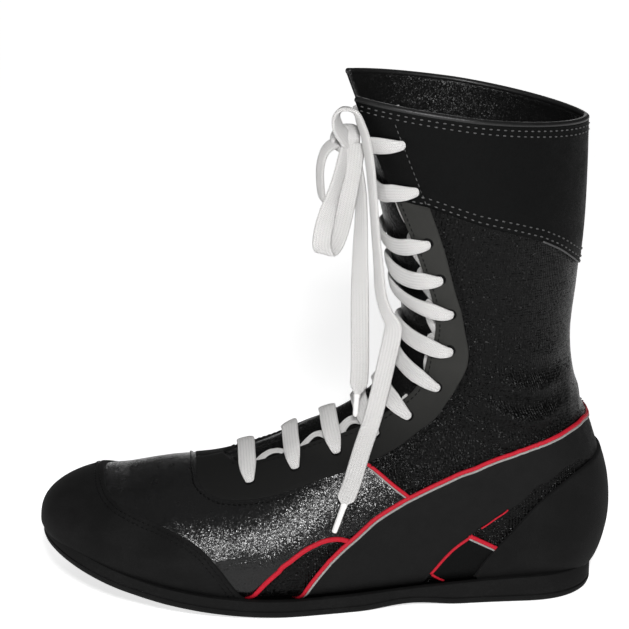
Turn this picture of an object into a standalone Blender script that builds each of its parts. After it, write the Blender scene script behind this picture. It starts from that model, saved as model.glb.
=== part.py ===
"""Boxing shoe for the left foot: a high laced upper on a low rubber cup sole.

The scene is in metres. Sizes and tables below are in millimetres.
The toe points along -X, the outer (little toe) side along -Y, and the floor is z = 0.
"Along" is the distance from the rearmost point of the heel towards the toe.
"""
import math
from collections import namedtuple

import bmesh
import bpy
from mathutils import Vector

MM = 0.001

# Driving sizes
SHOE_LENGTH = 293.0
BALL_WIDTH = 98.0
COLLAR_HEIGHT = 266.5
WALL = 2.0
GAP = 0.3
SEAT_GAP = 0.6

# Pattern that the tables below are drawn for, and the grading from it to the driving sizes
PATTERN_LENGTH = 293.0
PATTERN_BALL_WIDTH = 98.0
PATTERN_COLLAR_HEIGHT = 266.5
LENGTH_GRADE = SHOE_LENGTH / PATTERN_LENGTH
WIDTH_GRADE = BALL_WIDTH / PATTERN_BALL_WIDTH
HEIGHT_GRADE = COLLAR_HEIGHT / PATTERN_COLLAR_HEIGHT

# Sole: rubber thickness under the foot, wall around the foot, and the rounded lower edge
HEEL_THICKNESS = 8.0
TOE_THICKNESS = 5.0
THICKNESS_FADE = (60.0, 150.0)
TOE_SPRING = 26.0
SPRING_START = 160.0
SOLE_TIP = 292.0
SOLE_BACK = 7.5
ARCH_SPAN = (78.0, 132.0)
ARCH_HEIGHT = 2.2
RIM_ABOVE_FLOOR = 4.5
SOLE_WALL = 2.2
LOWER_EDGE = 2.4

# Toe of the upper: rounded over this length up to its tip
TOE_ROUND_START = 247.0
TOE_TIP = 291.5
TOE_TIP_Y = 8.0
TOE_TIP_LIFT = 3.0
TOE_ROUND = 2.1
TOE_TOP_ROUND = 2.6
TOE_TOP_FALL = 0.05

# Resolution of the form
STEPS_PER_SECTION = 2
TOE_STEPS = 6
RING_POINTS = 28

# One section of the foot form. Each lies in a plane through its top and base points and across
# the shoe. "lift" is the height of the base above the footbed, "widest" is where the section is
# widest as a share of the way from base to top, and the rounds are superellipse exponents.
Section = namedtuple("Section", "top_along top_z base_along lift ridge outer inner widest top_round base_round")
SECTIONS = (
    Section(247.0, 61.2, 247.0, 0.0, 6.0, 40.5, 45.0, 0.36, 2.00, 4.0),
    Section(225.0, 65.8, 225.0, 0.0, 5.0, 46.6, 47.0, 0.33, 1.85, 4.0),
    Section(200.0, 69.0, 200.0, 0.0, 4.0, 49.6, 47.2, 0.30, 1.75, 4.2),
    Section(175.0, 77.0, 174.0, 0.0, 3.0, 50.0, 45.0, 0.28, 1.70, 4.5),
    Section(153.0, 88.0, 147.0, 0.0, 2.0, 46.5, 41.0, 0.27, 1.75, 4.5),
    Section(138.0, 96.5, 114.0, 0.0, 1.0, 41.5, 36.5, 0.27, 1.80, 4.5),
    Section(127.0, 106.0, 74.0, 0.0, 0.5, 37.5, 34.5, 0.27, 1.90, 4.5),
    Section(120.0, 117.0, 36.0, 0.0, 0.0, 36.0, 34.5, 0.28, 2.00, 4.0),
    Section(116.5, 127.0, 12.0, 2.0, 0.0, 36.0, 35.0, 0.28, 2.00, 2.8),
    Section(114.5, 136.0, 1.5, 22.0, 0.0, 36.0, 35.5, 0.30, 2.00, 2.2),
    Section(114.0, 145.0, 1.0, 47.0, 0.0, 35.5, 35.5, 0.36, 2.00, 2.1),
    Section(114.5, 154.0, 8.5, 74.0, 0.0, 34.5, 35.0, 0.42, 2.05, 2.1),
    Section(116.5, 165.0, 18.0, 103.0, 0.0, 34.0, 34.5, 0.47, 2.10, 2.1),
    Section(119.5, 178.0, 21.0, 127.0, 0.0, 35.0, 35.0, 0.48, 2.15, 2.1),
    Section(125.5, 198.0, 18.5, 155.0, 0.0, 37.5, 37.5, 0.48, 2.20, 2.0),
    Section(133.5, 221.0, 16.0, 185.0, 0.0, 40.5, 40.5, 0.48, 2.20, 1.9),
    Section(141.0, 243.0, 15.2, 212.0, 0.0, 42.5, 42.5, 0.48, 2.20, 1.75),
    Section(148.5, 266.5, 15.2, 238.5, 0.0, 44.0, 44.0, 0.48, 2.20, 1.65),
)
COLLAR = len(SECTIONS) - 1.0

# Throat: distance of its two edges from the ridge. A place is a row of SECTIONS, counted from 0.
ThroatRow = namedtuple("ThroatRow", "place outer inner")
THROAT = (
    ThroatRow(2.10, 3.0, 2.0),
    ThroatRow(2.18, 8.0, 5.0),
    ThroatRow(2.40, 13.0, 8.0),
    ThroatRow(2.70, 15.5, 10.0),
    ThroatRow(4.00, 17.5, 13.0),
    ThroatRow(6.00, 19.0, 18.0),
    ThroatRow(8.00, 21.0, 21.0),
    ThroatRow(10.0, 23.5, 23.5),
    ThroatRow(11.0, 26.5, 26.0),
    ThroatRow(12.0, 29.0, 28.5),
    ThroatRow(13.0, 30.0, 29.5),
    ThroatRow(15.0, 31.0, 30.5),
    ThroatRow(17.0, 29.5, 29.5),
    ThroatRow(17.6, 29.2, 29.2),
)
THROAT_STEP = 0.3
THROAT_DEPTH = 0.55
THROAT_CLEAR = 6.0

# Lace and tongue fall back from the form's front by this share of the throat's depth
SlackRow = namedtuple("SlackRow", "place share")
SLACK = (
    SlackRow(2.0, 0.20),
    SlackRow(5.0, 0.30),
    SlackRow(9.0, 0.45),
    SlackRow(12.5, 0.33),
    SlackRow(14.2, 0.50),
    SlackRow(15.3, 0.80),
    SlackRow(16.2, 1.00),
    SlackRow(17.6, 1.00),
)

# Plan of the sole's upper edge, with its ends rounded off over the given lengths
PlanRow = namedtuple("PlanRow", "along outer inner")
SOLE_PLAN = (
    PlanRow(0.0, 37.5, 37.0),
    PlanRow(40.0, 38.2, 36.8),
    PlanRow(75.0, 39.5, 36.5),
    PlanRow(110.0, 43.0, 38.0),
    PlanRow(145.0, 48.5, 42.8),
    PlanRow(175.0, 52.2, 47.2),
    PlanRow(205.0, 51.6, 49.4),
    PlanRow(230.0, 47.8, 49.0),
    PlanRow(250.0, 41.8, 46.8),
    PlanRow(292.0, 30.5, 41.0),
)
HEEL_ROUND_LENGTH = 36.0
HEEL_ROUND = 2.3
PLAN_STEPS = 34
PLAN_COLUMNS = 4

# The upper is lasted in under the foot by this much, and the insole lies inside that margin
LASTED_MARGIN = 5.0
INSOLE_THICKNESS = 4.5

# Tongue: how far it reaches around the form to each side, in degrees
TongueRow = namedtuple("TongueRow", "place half_turn")
TONGUE = (
    TongueRow(1.5, 24.0),
    TongueRow(3.0, 34.0),
    TongueRow(5.0, 40.0),
    TongueRow(7.0, 48.0),
    TongueRow(9.0, 52.0),
    TongueRow(16.3, 52.0),
)
TONGUE_THICKNESS = 2.5
TONGUE_GAP = 0.6
TONGUE_COLUMNS = 7
TONGUE_STEP = 0.75
TONGUE_FLATTER = 0.8
TONGUE_NARROWER = 0.12
TONGUE_FLAT_FROM = 20.0
TONGUE_BEHIND_LACE = 1.2

# Toe cap and heel counter: edges in side view, from the sole's wall on, and how far they stand proud
EdgeRow = namedtuple("EdgeRow", "along height")
TOE_CAP_EDGE = (
    EdgeRow(190.5, 11.0),
    EdgeRow(197.0, 20.0),
    EdgeRow(203.0, 28.4),
    EdgeRow(213.0, 38.5),
    EdgeRow(229.0, 46.0),
    EdgeRow(250.0, 52.0),
    EdgeRow(258.0, 57.0),
    EdgeRow(261.5, 66.0),
)
HEEL_COUNTER_EDGE = (
    EdgeRow(72.2, 13.5),
    EdgeRow(67.5, 22.0),
    EdgeRow(53.3, 38.3),
    EdgeRow(36.7, 57.0),
    EdgeRow(24.9, 66.0),
    EdgeRow(16.2, 70.0),
    EdgeRow(0.0, 74.0),
)
OVERLAY_THICKNESS = 1.4
OVERLAY_GAP = 0.5
EDGE_STEPS = 2
WALL_STEPS = 12
OUTSIDE = 80.0
BEYOND_ENDS = 15.0

# Lace: flat, in bars from eyelet to eyelet. Each row is a bar, with the turn of its two eyelets in
# degrees and the places by which its middle hangs lower.
LaceRow = namedtuple("LaceRow", "place outer_turn inner_turn droop")
LACE_ROWS = (
    LaceRow(2.56, 33.0, 27.0, 0.0),
    LaceRow(3.52, 34.5, 30.0, 0.0),
    LaceRow(4.56, 36.5, 33.0, 0.0),
    LaceRow(5.76, 39.0, 37.0, 0.0),
    LaceRow(7.00, 42.5, 41.0, 0.0),
    LaceRow(9.00, 47.0, 46.0, 0.3),
    LaceRow(11.08, 61.0, 59.0, 0.6),
    LaceRow(12.48, 70.5, 68.0, 0.35),
    LaceRow(13.40, 67.5, 66.0, 0.4),
    LaceRow(14.16, 63.5, 62.0, 0.35),
    LaceRow(15.28, 63.0, 62.0, 0.2),
    LaceRow(16.28, 61.5, 61.0, 0.0),
)
LACE_WIDTH = 9.0
LACE_THICKNESS = 1.8
LACE_EDGE = 0.7
LACE_GAP = 0.9
HOLLOW_STEP = 0.3
HOLLOW_ALLOWANCE = 1.5
LACE_BAR_STEPS = (2, 6, 2)

# Free lace: knot, then routes as points along the shoe, across it and up. Facing is the way that
# the flat side looks, in degrees from the outer side towards straight up.
KNOT_CENTRE = (138.9, -13.0, 246.5)
KNOT_SIZE = (16.8, 18.0, 18.0)
RouteRow = namedtuple("RouteRow", "along y z facing")
SHORT_END = (
    RouteRow(135.8, -14.9, 237.4, 0.0),
    RouteRow(135.3, -17.0, 230.0, 0.0),
    RouteRow(134.5, -18.5, 221.0, 0.0),
    RouteRow(133.2, -18.5, 200.5, 0.0),
    RouteRow(132.3, -18.5, 180.0, 0.0),
    RouteRow(131.6, -18.5, 159.0, 0.0),
    RouteRow(131.4, -18.5, 138.0, 0.0),
    RouteRow(131.3, -18.5, 121.0, 0.0),
    RouteRow(131.2, -18.5, 109.0, 0.0),
)
SHORT_TIP = ((131.2, -18.5, 108.7), (131.7, -18.5, 97.0))
LONG_END = (
    RouteRow(138.0, -22.2, 248.4, 80.0),
    RouteRow(136.2, -30.0, 247.3, 70.0),
    RouteRow(132.5, -38.5, 243.0, 50.0),
    RouteRow(128.0, -44.5, 234.0, 20.0),
    RouteRow(124.8, -45.5, 221.0, 0.0),
    RouteRow(123.7, -44.0, 200.5, 0.0),
    RouteRow(123.5, -41.5, 184.0, 0.0),
    RouteRow(121.4, -38.5, 167.0, 0.0),
    RouteRow(115.7, -36.0, 154.0, 0.0),
    RouteRow(113.5, -34.5, 145.0, 0.0),
    RouteRow(114.7, -31.5, 132.5, 20.0),
    RouteRow(117.5, -28.5, 118.0, 30.0),
    RouteRow(121.0, -27.5, 104.5, 35.0),
    RouteRow(125.0, -28.5, 92.0, 40.0),
    RouteRow(128.3, -32.0, 80.5, 38.0),
    RouteRow(131.7, -36.5, 69.0, 30.0),
    RouteRow(136.0, -39.5, 63.5, 25.0),
    RouteRow(140.0, -42.0, 58.0, 20.0),
)
LONG_TIP = ((140.3, -42.3, 57.4), (145.0, -46.5, 44.5))
LARGE_LOOP = (
    RouteRow(142.5, -18.4, 238.2, 0.0),
    RouteRow(141.8, -21.8, 231.0, 0.0),
    RouteRow(142.5, -23.5, 221.0, 0.0),
    RouteRow(146.0, -24.5, 203.0, 0.0),
    RouteRow(148.0, -26.0, 191.0, 15.0),
    RouteRow(146.5, -30.0, 183.5, 90.0),
    RouteRow(143.5, -34.0, 190.0, 165.0),
    RouteRow(140.5, -34.5, 203.0, 180.0),
    RouteRow(139.0, -32.5, 220.0, 180.0),
    RouteRow(139.2, -28.5, 232.5, 195.0),
    RouteRow(140.0, -22.3, 240.8, 220.0),
)
SMALL_LOOP = (
    RouteRow(143.1, -7.2, 238.2, 0.0),
    RouteRow(145.0, -4.0, 231.0, 0.0),
    RouteRow(147.0, -2.5, 220.0, 0.0),
    RouteRow(146.5, -2.5, 206.0, 0.0),
    RouteRow(143.5, -5.5, 198.0, 90.0),
    RouteRow(141.5, -9.0, 206.0, 180.0),
    RouteRow(141.8, -10.0, 220.0, 180.0),
    RouteRow(142.6, -11.0, 231.0, 180.0),
    RouteRow(143.3, -12.4, 236.6, 180.0),
)
ROUTE_STEPS = 2
TIP_RADIUS = 1.6

RUBBER_BLACK = (0.012, 0.012, 0.013)
LEATHER_BLACK = (0.010, 0.010, 0.011)
LINING_BLACK = (0.016, 0.016, 0.017)
LACE_WHITE = (0.80, 0.79, 0.78)


def clear_scene():
    """Start from an empty scene."""
    for item in list(bpy.data.objects):
        bpy.data.objects.remove(item, do_unlink=True)


def ease(value, low, high):
    """Smooth step from 0 at low to 1 at high."""
    share = min(max((value - low) / (high - low), 0.0), 1.0)
    return share * share * (3.0 - 2.0 * share)


def through_rows(rows, key, column, place):
    """Smooth curve through one column of a table, with rows at their own key values."""
    keys = [getattr(row, key) for row in rows]
    values = [getattr(row, column) for row in rows]
    last = len(rows) - 1
    index = 0
    while index < last - 1 and place > keys[index + 1]:
        index += 1
    before = max(index - 1, 0)
    after = min(index + 2, last)
    span = keys[index + 1] - keys[index]
    slope_low = (values[index + 1] - values[before]) / (keys[index + 1] - keys[before])
    slope_high = (values[after] - values[index]) / (keys[after] - keys[index])
    t = (place - keys[index]) / span
    if t < 0.0:
        return values[index] + slope_low * (place - keys[index])
    if t > 1.0:
        return values[index + 1] + slope_high * (place - keys[index + 1])
    return ((2 * t**3 - 3 * t**2 + 1) * values[index]
            + (t**3 - 2 * t**2 + t) * span * slope_low
            + (3 * t**2 - 2 * t**3) * values[index + 1]
            + (t**3 - t**2) * span * slope_high)


def spring(along):
    """Rise of the sole's underside towards the toe."""
    if along <= SPRING_START:
        return 0.0
    share = (along - SPRING_START) / (SOLE_TIP - SPRING_START)
    return TOE_SPRING * share * share


def ground(along):
    """Underside of the sole: flat heel, low arch, flat ball and the toe spring."""
    low, high = ARCH_SPAN
    if low < along < high:
        return ARCH_HEIGHT * math.sin(math.pi * (along - low) / (high - low)) ** 2
    return spring(along)


def footbed(along):
    """Top of the rubber under the foot."""
    thinning = ease(along, *THICKNESS_FADE)
    return spring(along) + HEEL_THICKNESS + (TOE_THICKNESS - HEEL_THICKNESS) * thinning


def rim(along):
    """Top of the sole's wall, which is highest around the heel and the toe."""
    heel_rise = 2.0 * (1.0 - ease(along, 20.0, 90.0))
    toe_rise = 1.5 * ease(along, 235.0, 285.0)
    return footbed(along) + RIM_ABOVE_FLOOR + heel_rise + toe_rise


def place_point(along, y, z):
    """Point in metres, graded to the driving sizes."""
    x = SHOE_LENGTH / 2.0 - along * LENGTH_GRADE
    return Vector((x, y * WIDTH_GRADE, z * HEIGHT_GRADE)) * MM


def numbered(rows):
    """Rows of a table with their own number in front, as a column named row."""
    kind = namedtuple("Numbered", "row " + " ".join(rows[0]._fields))
    return [kind(number, *row) for number, row in enumerate(rows)]


def smooth_path(rows, steps):
    """Rows on a smooth curve through a table, with a number of steps from each row to the next."""
    kind = type(rows[0])
    table = numbered(rows)
    stops = [i / steps for i in range((len(rows) - 1) * steps + 1)]
    return [kind(*(through_rows(table, "row", column, stop) for column in kind._fields)) for stop in stops]


def body_section(place):
    """Section at a place between the rows of the table."""
    table = numbered(SECTIONS)
    return Section(*(through_rows(table, "row", column, place) for column in Section._fields))


def toe_section(turn):
    """Section of the rounded toe: turn is 0 at the start of the rounding and 1 at the tip."""
    start = SECTIONS[0]
    following = SECTIONS[1]
    share = math.sin(turn * math.pi / 2.0)
    along = TOE_ROUND_START + (TOE_TIP - TOE_ROUND_START) * share
    run = (along - start.top_along) / (start.top_along - following.top_along)
    left = max(1.0 - share ** TOE_ROUND, 0.0) ** (1.0 / TOE_ROUND)
    top_left = max(1.0 - share ** TOE_TOP_ROUND, 0.0) ** (1.0 / TOE_TOP_ROUND)
    tip_z = footbed(along) + TOE_TIP_LIFT
    top_line = start.top_z - TOE_TOP_FALL * (along - start.top_along)
    outer_line = start.outer + run * (start.outer - following.outer)
    inner_line = start.inner + run * (start.inner - following.inner)
    return start._replace(
        top_along=along, base_along=along,
        top_z=tip_z + (top_line - tip_z) * top_left,
        lift=TOE_TIP_LIFT * share ** 8,
        ridge=start.ridge + (TOE_TIP_Y - start.ridge) * share,
        outer=-TOE_TIP_Y + (outer_line + TOE_TIP_Y) * left,
        inner=TOE_TIP_Y + (inner_line - TOE_TIP_Y) * left)


def top_and_base(section):
    """Ends of a section in side view, as distances along the shoe and heights."""
    top = Vector((section.top_along, section.top_z))
    base = Vector((section.base_along, footbed(section.base_along) + section.lift))
    return top, base


def section_local(section, angle):
    """Height along a section's axis and y. Angle 0 is the top, and it grows towards the inner side."""
    top, base = top_and_base(section)
    length = (top - base).length
    forward = math.cos(angle)
    across = math.sin(angle)
    power = section.base_round
    reach = length * section.widest
    if forward >= 0.0:
        power = section.top_round
        reach = length * (1.0 - section.widest)
    radius = (abs(forward) ** power + abs(across) ** power) ** (-1.0 / power)
    half = section.inner - section.ridge if across >= 0.0 else section.outer + section.ridge
    return length * section.widest + reach * forward * radius, section.ridge + half * across * radius


def from_local(section, height, y):
    """Point in metres of a height along a section's axis and a y."""
    top, base = top_and_base(section)
    flat = base + (top - base).normalized() * height
    return place_point(flat.x, y, flat.y)


def section_point(section, angle):
    """Point on a section in metres."""
    return from_local(section, *section_local(section, angle))


def throat_edges(place):
    """Y of the outer and inner edge of the throat."""
    ridge = body_section(place).ridge
    outer = through_rows(THROAT, "place", "outer", place)
    inner = through_rows(THROAT, "place", "inner", place)
    return ridge - outer, ridge + inner


def angle_at(section, y):
    """Angle at which the front of a section reaches a y, found by halving."""
    side = 1.0 if y >= section.ridge else -1.0
    low = 0.0
    high = math.pi / 2.0
    for _ in range(30):
        middle = (low + high) / 2.0
        if abs(section_local(section, side * middle)[1] - section.ridge) < abs(y - section.ridge):
            low = middle
        else:
            high = middle
    return side * low


def height_at(section, y):
    """Height along a section's axis of its front at a y."""
    return section_local(section, angle_at(section, y))[0]


def slack(place):
    """Share of the throat's depth by which lace and tongue fall back."""
    return through_rows(SLACK, "place", "share", place)


def throat_depth(place):
    """How far the straight line between the throat's edges lies behind the ridge."""
    section = body_section(place)
    outer, inner = throat_edges(place)
    share = (section.ridge - outer) / (inner - outer)
    edge = height_at(section, outer) * (1.0 - share) + height_at(section, inner) * share
    return height_at(section, section.ridge) - edge


def normal_at(grid, row, column, closed):
    """Outward direction of a grid of points, from its neighbours."""
    rows = len(grid)
    columns = len(grid[0])
    along = grid[min(row + 1, rows - 1)][column] - grid[max(row - 1, 0)][column]
    if closed:
        around = grid[row][(column + 1) % columns] - grid[row][(column - 1) % columns]
    else:
        around = grid[row][min(column + 1, columns - 1)] - grid[row][max(column - 1, 0)]
    return along.cross(around).normalized()


def moved_out(grid, offset, closed=True):
    """The grid's points moved outwards by an offset in millimetres."""
    return [[grid[i][j] + normal_at(grid, i, j, closed) * (offset * MM) for j in range(len(grid[i]))]
            for i in range(len(grid))]


def form_grid():
    """Rings of the foot form from just behind the toe tip to the collar."""
    sections = [toe_section(1.0 - (i + 1.0) / TOE_STEPS) for i in range(TOE_STEPS - 1)]
    places = int(COLLAR) * STEPS_PER_SECTION
    sections += [body_section(i / STEPS_PER_SECTION) for i in range(places + 1)]
    angles = [2.0 * math.pi * j / RING_POINTS for j in range(RING_POINTS)]
    return [[section_point(section, angle) for angle in angles] for section in sections]


def form_mesh(offset, above_collar=0.0):
    """Closed mesh of the foot form, moved out by an offset and carried on above the collar."""
    grid = form_grid()
    rings = moved_out(grid, offset)
    if above_collar > 0.0:
        rise = (grid[-1][0] - grid[-3][0]).normalized() * (above_collar * MM)
        rings.append([point + rise for point in rings[-1]])
    tip = section_point(toe_section(1.0), 0.0) + Vector((-offset * MM, 0.0, 0.0))
    return rings_mesh(rings, first_point=tip)


def rings_mesh(rings, first_point=None):
    """Closed mesh through rings of points, with flat ends or a point at the first end."""
    mesh = bmesh.new()
    loops = [[mesh.verts.new(point) for point in ring] for ring in rings]
    count = len(loops[0])
    for low, high in zip(loops, loops[1:]):
        for j in range(count):
            k = (j + 1) % count
            mesh.faces.new((low[j], low[k], high[k], high[j]))
    if first_point is None:
        mesh.faces.new(loops[0])
    else:
        tip = mesh.verts.new(first_point)
        for j in range(count):
            mesh.faces.new((tip, loops[0][j], loops[0][(j + 1) % count]))
    mesh.faces.new(loops[-1])
    bmesh.ops.recalc_face_normals(mesh, faces=mesh.faces)
    return mesh


def sheet_mesh(front, back):
    """Closed mesh between two grids of the same size, such as the two sides of a strip."""
    mesh = bmesh.new()
    rows = len(front)
    columns = len(front[0])
    grids = [[[mesh.verts.new(point) for point in row] for row in grid] for grid in (front, back)]
    for grid in grids:
        for i in range(rows - 1):
            for j in range(columns - 1):
                mesh.faces.new((grid[i][j], grid[i][j + 1], grid[i + 1][j + 1], grid[i + 1][j]))
    edge = [(i, 0) for i in range(rows)] + [(rows - 1, j) for j in range(1, columns)]
    edge += [(i, columns - 1) for i in range(rows - 2, -1, -1)] + [(0, j) for j in range(columns - 2, 0, -1)]
    for (i, j), (m, n) in zip(edge, edge[1:] + edge[:1]):
        mesh.faces.new((grids[0][i][j], grids[0][m][n], grids[1][m][n], grids[1][i][j]))
    bmesh.ops.recalc_face_normals(mesh, faces=mesh.faces)
    return mesh


def plan_edges(share, inset):
    """Along, outer and inner of the sole's plan at a share of its length, drawn in by an inset."""
    back = SOLE_BACK + inset
    tip = SOLE_TIP - inset
    along = back + (tip - back) * (1.0 - math.cos(math.pi * share)) / 2.0
    outer = through_rows(SOLE_PLAN, "along", "outer", along) - inset
    inner = through_rows(SOLE_PLAN, "along", "inner", along) - inset
    from_back = (along - back) / HEEL_ROUND_LENGTH
    from_tip = (along - TOE_ROUND_START) / (tip - TOE_ROUND_START)
    centre = 0.0
    left = 1.0
    if from_back < 1.0:
        left = max(1.0 - (1.0 - from_back) ** HEEL_ROUND, 0.0) ** (1.0 / HEEL_ROUND)
    if from_tip > 0.0:
        centre = TOE_TIP_Y
        left = max(1.0 - min(from_tip, 1.0) ** TOE_ROUND, 0.0) ** (1.0 / TOE_ROUND)
    return along, centre - (outer + centre) * left, centre + (inner - centre) * left


def plan_mesh(levels):
    """Closed mesh over the sole's plan. Each level is an inset and a height function, from below."""
    mesh = bmesh.new()
    rings = []
    for inset, height in levels:
        edges = [plan_edges(i / PLAN_STEPS, inset) for i in range(PLAN_STEPS + 1)]
        outer_side = [mesh.verts.new(place_point(a, o, height(a))) for a, o, _ in edges]
        inner_side = [mesh.verts.new(place_point(a, i, height(a))) for a, _, i in edges[1:-1]]
        rings.append((edges, outer_side, [outer_side[0]] + inner_side + [outer_side[-1]], height))
    for low, high in zip(rings, rings[1:]):
        for side in (1, 2):
            for i in range(PLAN_STEPS):
                mesh.faces.new((low[side][i], low[side][i + 1], high[side][i + 1], high[side][i]))
    for edges, outer_side, inner_side, height in (rings[0], rings[-1]):
        rows = []
        for i in range(PLAN_STEPS + 1):
            along, outer, inner = edges[i]
            row = [outer_side[i]]
            if 0 < i < PLAN_STEPS:
                for column in range(1, PLAN_COLUMNS):
                    y = outer + (inner - outer) * column / PLAN_COLUMNS
                    row.append(mesh.verts.new(place_point(along, y, height(along))))
                row.append(inner_side[i])
            rows.append(row)
        for near, far in zip(rows, rows[1:]):
            for column in range(PLAN_COLUMNS):
                corners = [near[min(column, len(near) - 1)], near[min(column + 1, len(near) - 1)],
                           far[min(column + 1, len(far) - 1)], far[min(column, len(far) - 1)]]
                mesh.faces.new(list(dict.fromkeys(corners)))
    bmesh.ops.recalc_face_normals(mesh, faces=mesh.faces)
    return mesh


def material(name, colour, roughness):
    """Principled material."""
    made = bpy.data.materials.new(name)
    made.use_nodes = True
    shader = made.node_tree.nodes["Principled BSDF"]
    shader.inputs["Base Color"].default_value = (*colour, 1.0)
    shader.inputs["Roughness"].default_value = roughness
    shader.inputs["Metallic"].default_value = 0.0
    return made


def add_object(name, mesh, made=None):
    """New object from a bmesh, with its material."""
    data = bpy.data.meshes.new(name)
    mesh.to_mesh(data)
    mesh.free()
    item = bpy.data.objects.new(name, data)
    bpy.context.scene.collection.objects.link(item)
    if made is not None:
        data.materials.append(made)
        data.shade_smooth()
        data.set_sharp_from_angle(angle=math.radians(35.0))
    return item


def add_cutter(name, mesh):
    """Hidden object that only cuts others."""
    item = add_object(name, mesh)
    item.hide_render = True
    item.display_type = "WIRE"
    return item


def cut(item, cutter, operation="DIFFERENCE"):
    """Boolean modifier on an item."""
    modifier = item.modifiers.new(operation.title() + " " + cutter.name, "BOOLEAN")
    modifier.operation = operation
    modifier.solver = "EXACT"
    modifier.object = cutter


def throat_cutter():
    """Tapered channel that opens the front of the upper from the vamp to above the collar."""
    starts = [row.place for row in THROAT[:4]]
    steps = int((THROAT[-1].place - starts[-1]) / THROAT_STEP)
    places = starts + [starts[-1] + (i + 1) * THROAT_STEP for i in range(steps)]
    rings = []
    for place in places:
        section = body_section(place)
        outer, inner = throat_edges(place)
        top, base = top_and_base(section)
        length = (top - base).length
        inside = length * THROAT_DEPTH
        outside = length + THROAT_CLEAR
        corners = ((inside, outer), (outside, outer), (outside, inner), (inside, inner))
        rings.append([from_local(section, height, y) for height, y in corners])
    return add_cutter("cutter_throat", rings_mesh(rings))


def make_upper():
    """One hollow wall, open at the collar, at the throat and under the foot."""
    upper = add_object("upper", form_mesh(0.0), material("upper_leather", LEATHER_BLACK, 0.35))
    cut(upper, add_cutter("cutter_inside", form_mesh(-WALL, above_collar=15.0)))
    cut(upper, throat_cutter())
    inset = SOLE_WALL + WALL + LASTED_MARGIN
    levels = ((inset, lambda along: -30.0), (inset, lambda along: footbed(along) + 3.0 * WALL))
    cut(upper, add_cutter("cutter_floor", plan_mesh(levels)))
    return upper


def make_outsole():
    """Rubber cup sole: rounded lower edge, wall around the foot and a seat for the upper."""
    levels = (
        (LOWER_EDGE, ground),
        (LOWER_EDGE * 0.3, lambda along: ground(along) + LOWER_EDGE * 0.3),
        (0.0, lambda along: ground(along) + LOWER_EDGE),
        (0.0, rim),
    )
    outsole = add_object("outsole", plan_mesh(levels), material("sole_rubber", RUBBER_BLACK, 0.6))
    cut(outsole, add_cutter("cutter_foot", form_mesh(SEAT_GAP)))
    return outsole


def make_insole():
    """Flat pad on the rubber, inside the margin of the lasted upper."""
    inset = SOLE_WALL + WALL + LASTED_MARGIN + GAP
    levels = (
        (inset, lambda along: footbed(along) - INSOLE_THICKNESS),
        (inset, lambda along: footbed(along) + INSOLE_THICKNESS),
    )
    insole = add_object("insole", plan_mesh(levels), material("insole_cloth", LINING_BLACK, 0.9))
    cut(insole, add_cutter("cutter_underfoot", form_mesh(-GAP)), "INTERSECT")
    return insole


def tongue_section(place):
    """Section of the form with its front drawn back, flatter in front and narrower."""
    section = body_section(place)
    drawn_back = max(throat_depth(place) * slack(place) - TONGUE_BEHIND_LACE, 0.0)
    top, base = top_and_base(section)
    length = (top - base).length
    moved = top - (top - base) * (drawn_back / length)
    share = min(drawn_back / TONGUE_FLAT_FROM, 1.0)
    return section._replace(
        top_along=moved.x, top_z=moved.y,
        widest=section.widest * length / (length - drawn_back),
        top_round=section.top_round + TONGUE_FLATTER * share,
        outer=section.outer * (1.0 - TONGUE_NARROWER * share),
        inner=section.inner * (1.0 - TONGUE_NARROWER * share))


def make_tongue():
    """Curved strip behind the lacing, drawn back from the facings where the throat is wide."""
    steps = int((TONGUE[-1].place - TONGUE[0].place) / TONGUE_STEP)
    rows = []
    for i in range(steps + 1):
        place = TONGUE[0].place + (TONGUE[-1].place - TONGUE[0].place) * i / steps
        half_turn = math.radians(through_rows(TONGUE, "place", "half_turn", place))
        turns = [half_turn * (2.0 * j / (TONGUE_COLUMNS - 1) - 1.0) for j in range(TONGUE_COLUMNS)]
        rows.append([section_point(tongue_section(place), turn) for turn in turns])
    front = moved_out(rows, -WALL - TONGUE_GAP, closed=False)
    back = moved_out(rows, -WALL - TONGUE_GAP - TONGUE_THICKNESS, closed=False)
    return add_object("tongue", sheet_mesh(front, back), material("tongue_cloth", LINING_BLACK, 0.7))


def side_prism(name, rows, far):
    """Block across the shoe between the sole's wall and an edge in side view, up to a far distance."""
    edge = [(row.along, row.height) for row in smooth_path(rows, EDGE_STEPS)[1:]]
    near = rows[0].along
    steps = [far + (near - far) * i / WALL_STEPS for i in range(WALL_STEPS + 1)]
    wall = [(along, rim(along) + GAP) for along in steps]
    outline = wall + edge + [(far, edge[-1][1])]
    rings = [[place_point(along, y, z) for along, z in outline] for y in (-OUTSIDE, OUTSIDE)]
    return add_cutter(name, rings_mesh(rings))


def make_overlay(name, rows, far):
    """Piece between two larger forms, inside an edge in side view and above the sole's wall."""
    made = material(name + "_suede", LEATHER_BLACK, 0.8)
    overlay = add_object(name, form_mesh(OVERLAY_GAP + OVERLAY_THICKNESS), made)
    cut(overlay, side_prism("cutter_edge_" + name, rows, far), "INTERSECT")
    cut(overlay, add_cutter("cutter_under_" + name, form_mesh(OVERLAY_GAP)))
    return overlay


def lace_point(place, angle):
    """Point of the form, with the throat's opening flattened as far as the lace is slack."""
    section = body_section(place)
    height, y = section_local(section, angle)
    outer, inner = throat_edges(place)
    if outer < y < inner:
        share = (y - outer) / (inner - outer)
        straight = height_at(section, outer) * (1.0 - share) + height_at(section, inner) * share
        height += (straight - height) * slack(place)
    return from_local(section, height, y)


def lace_normal(place, angle):
    """Outward direction of the surface that the lace lies on."""
    along = lace_point(place + 0.1, angle) - lace_point(place - 0.1, angle)
    around = lace_point(place, angle + 0.1) - lace_point(place, angle - 0.1)
    return along.cross(around).normalized()


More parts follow.
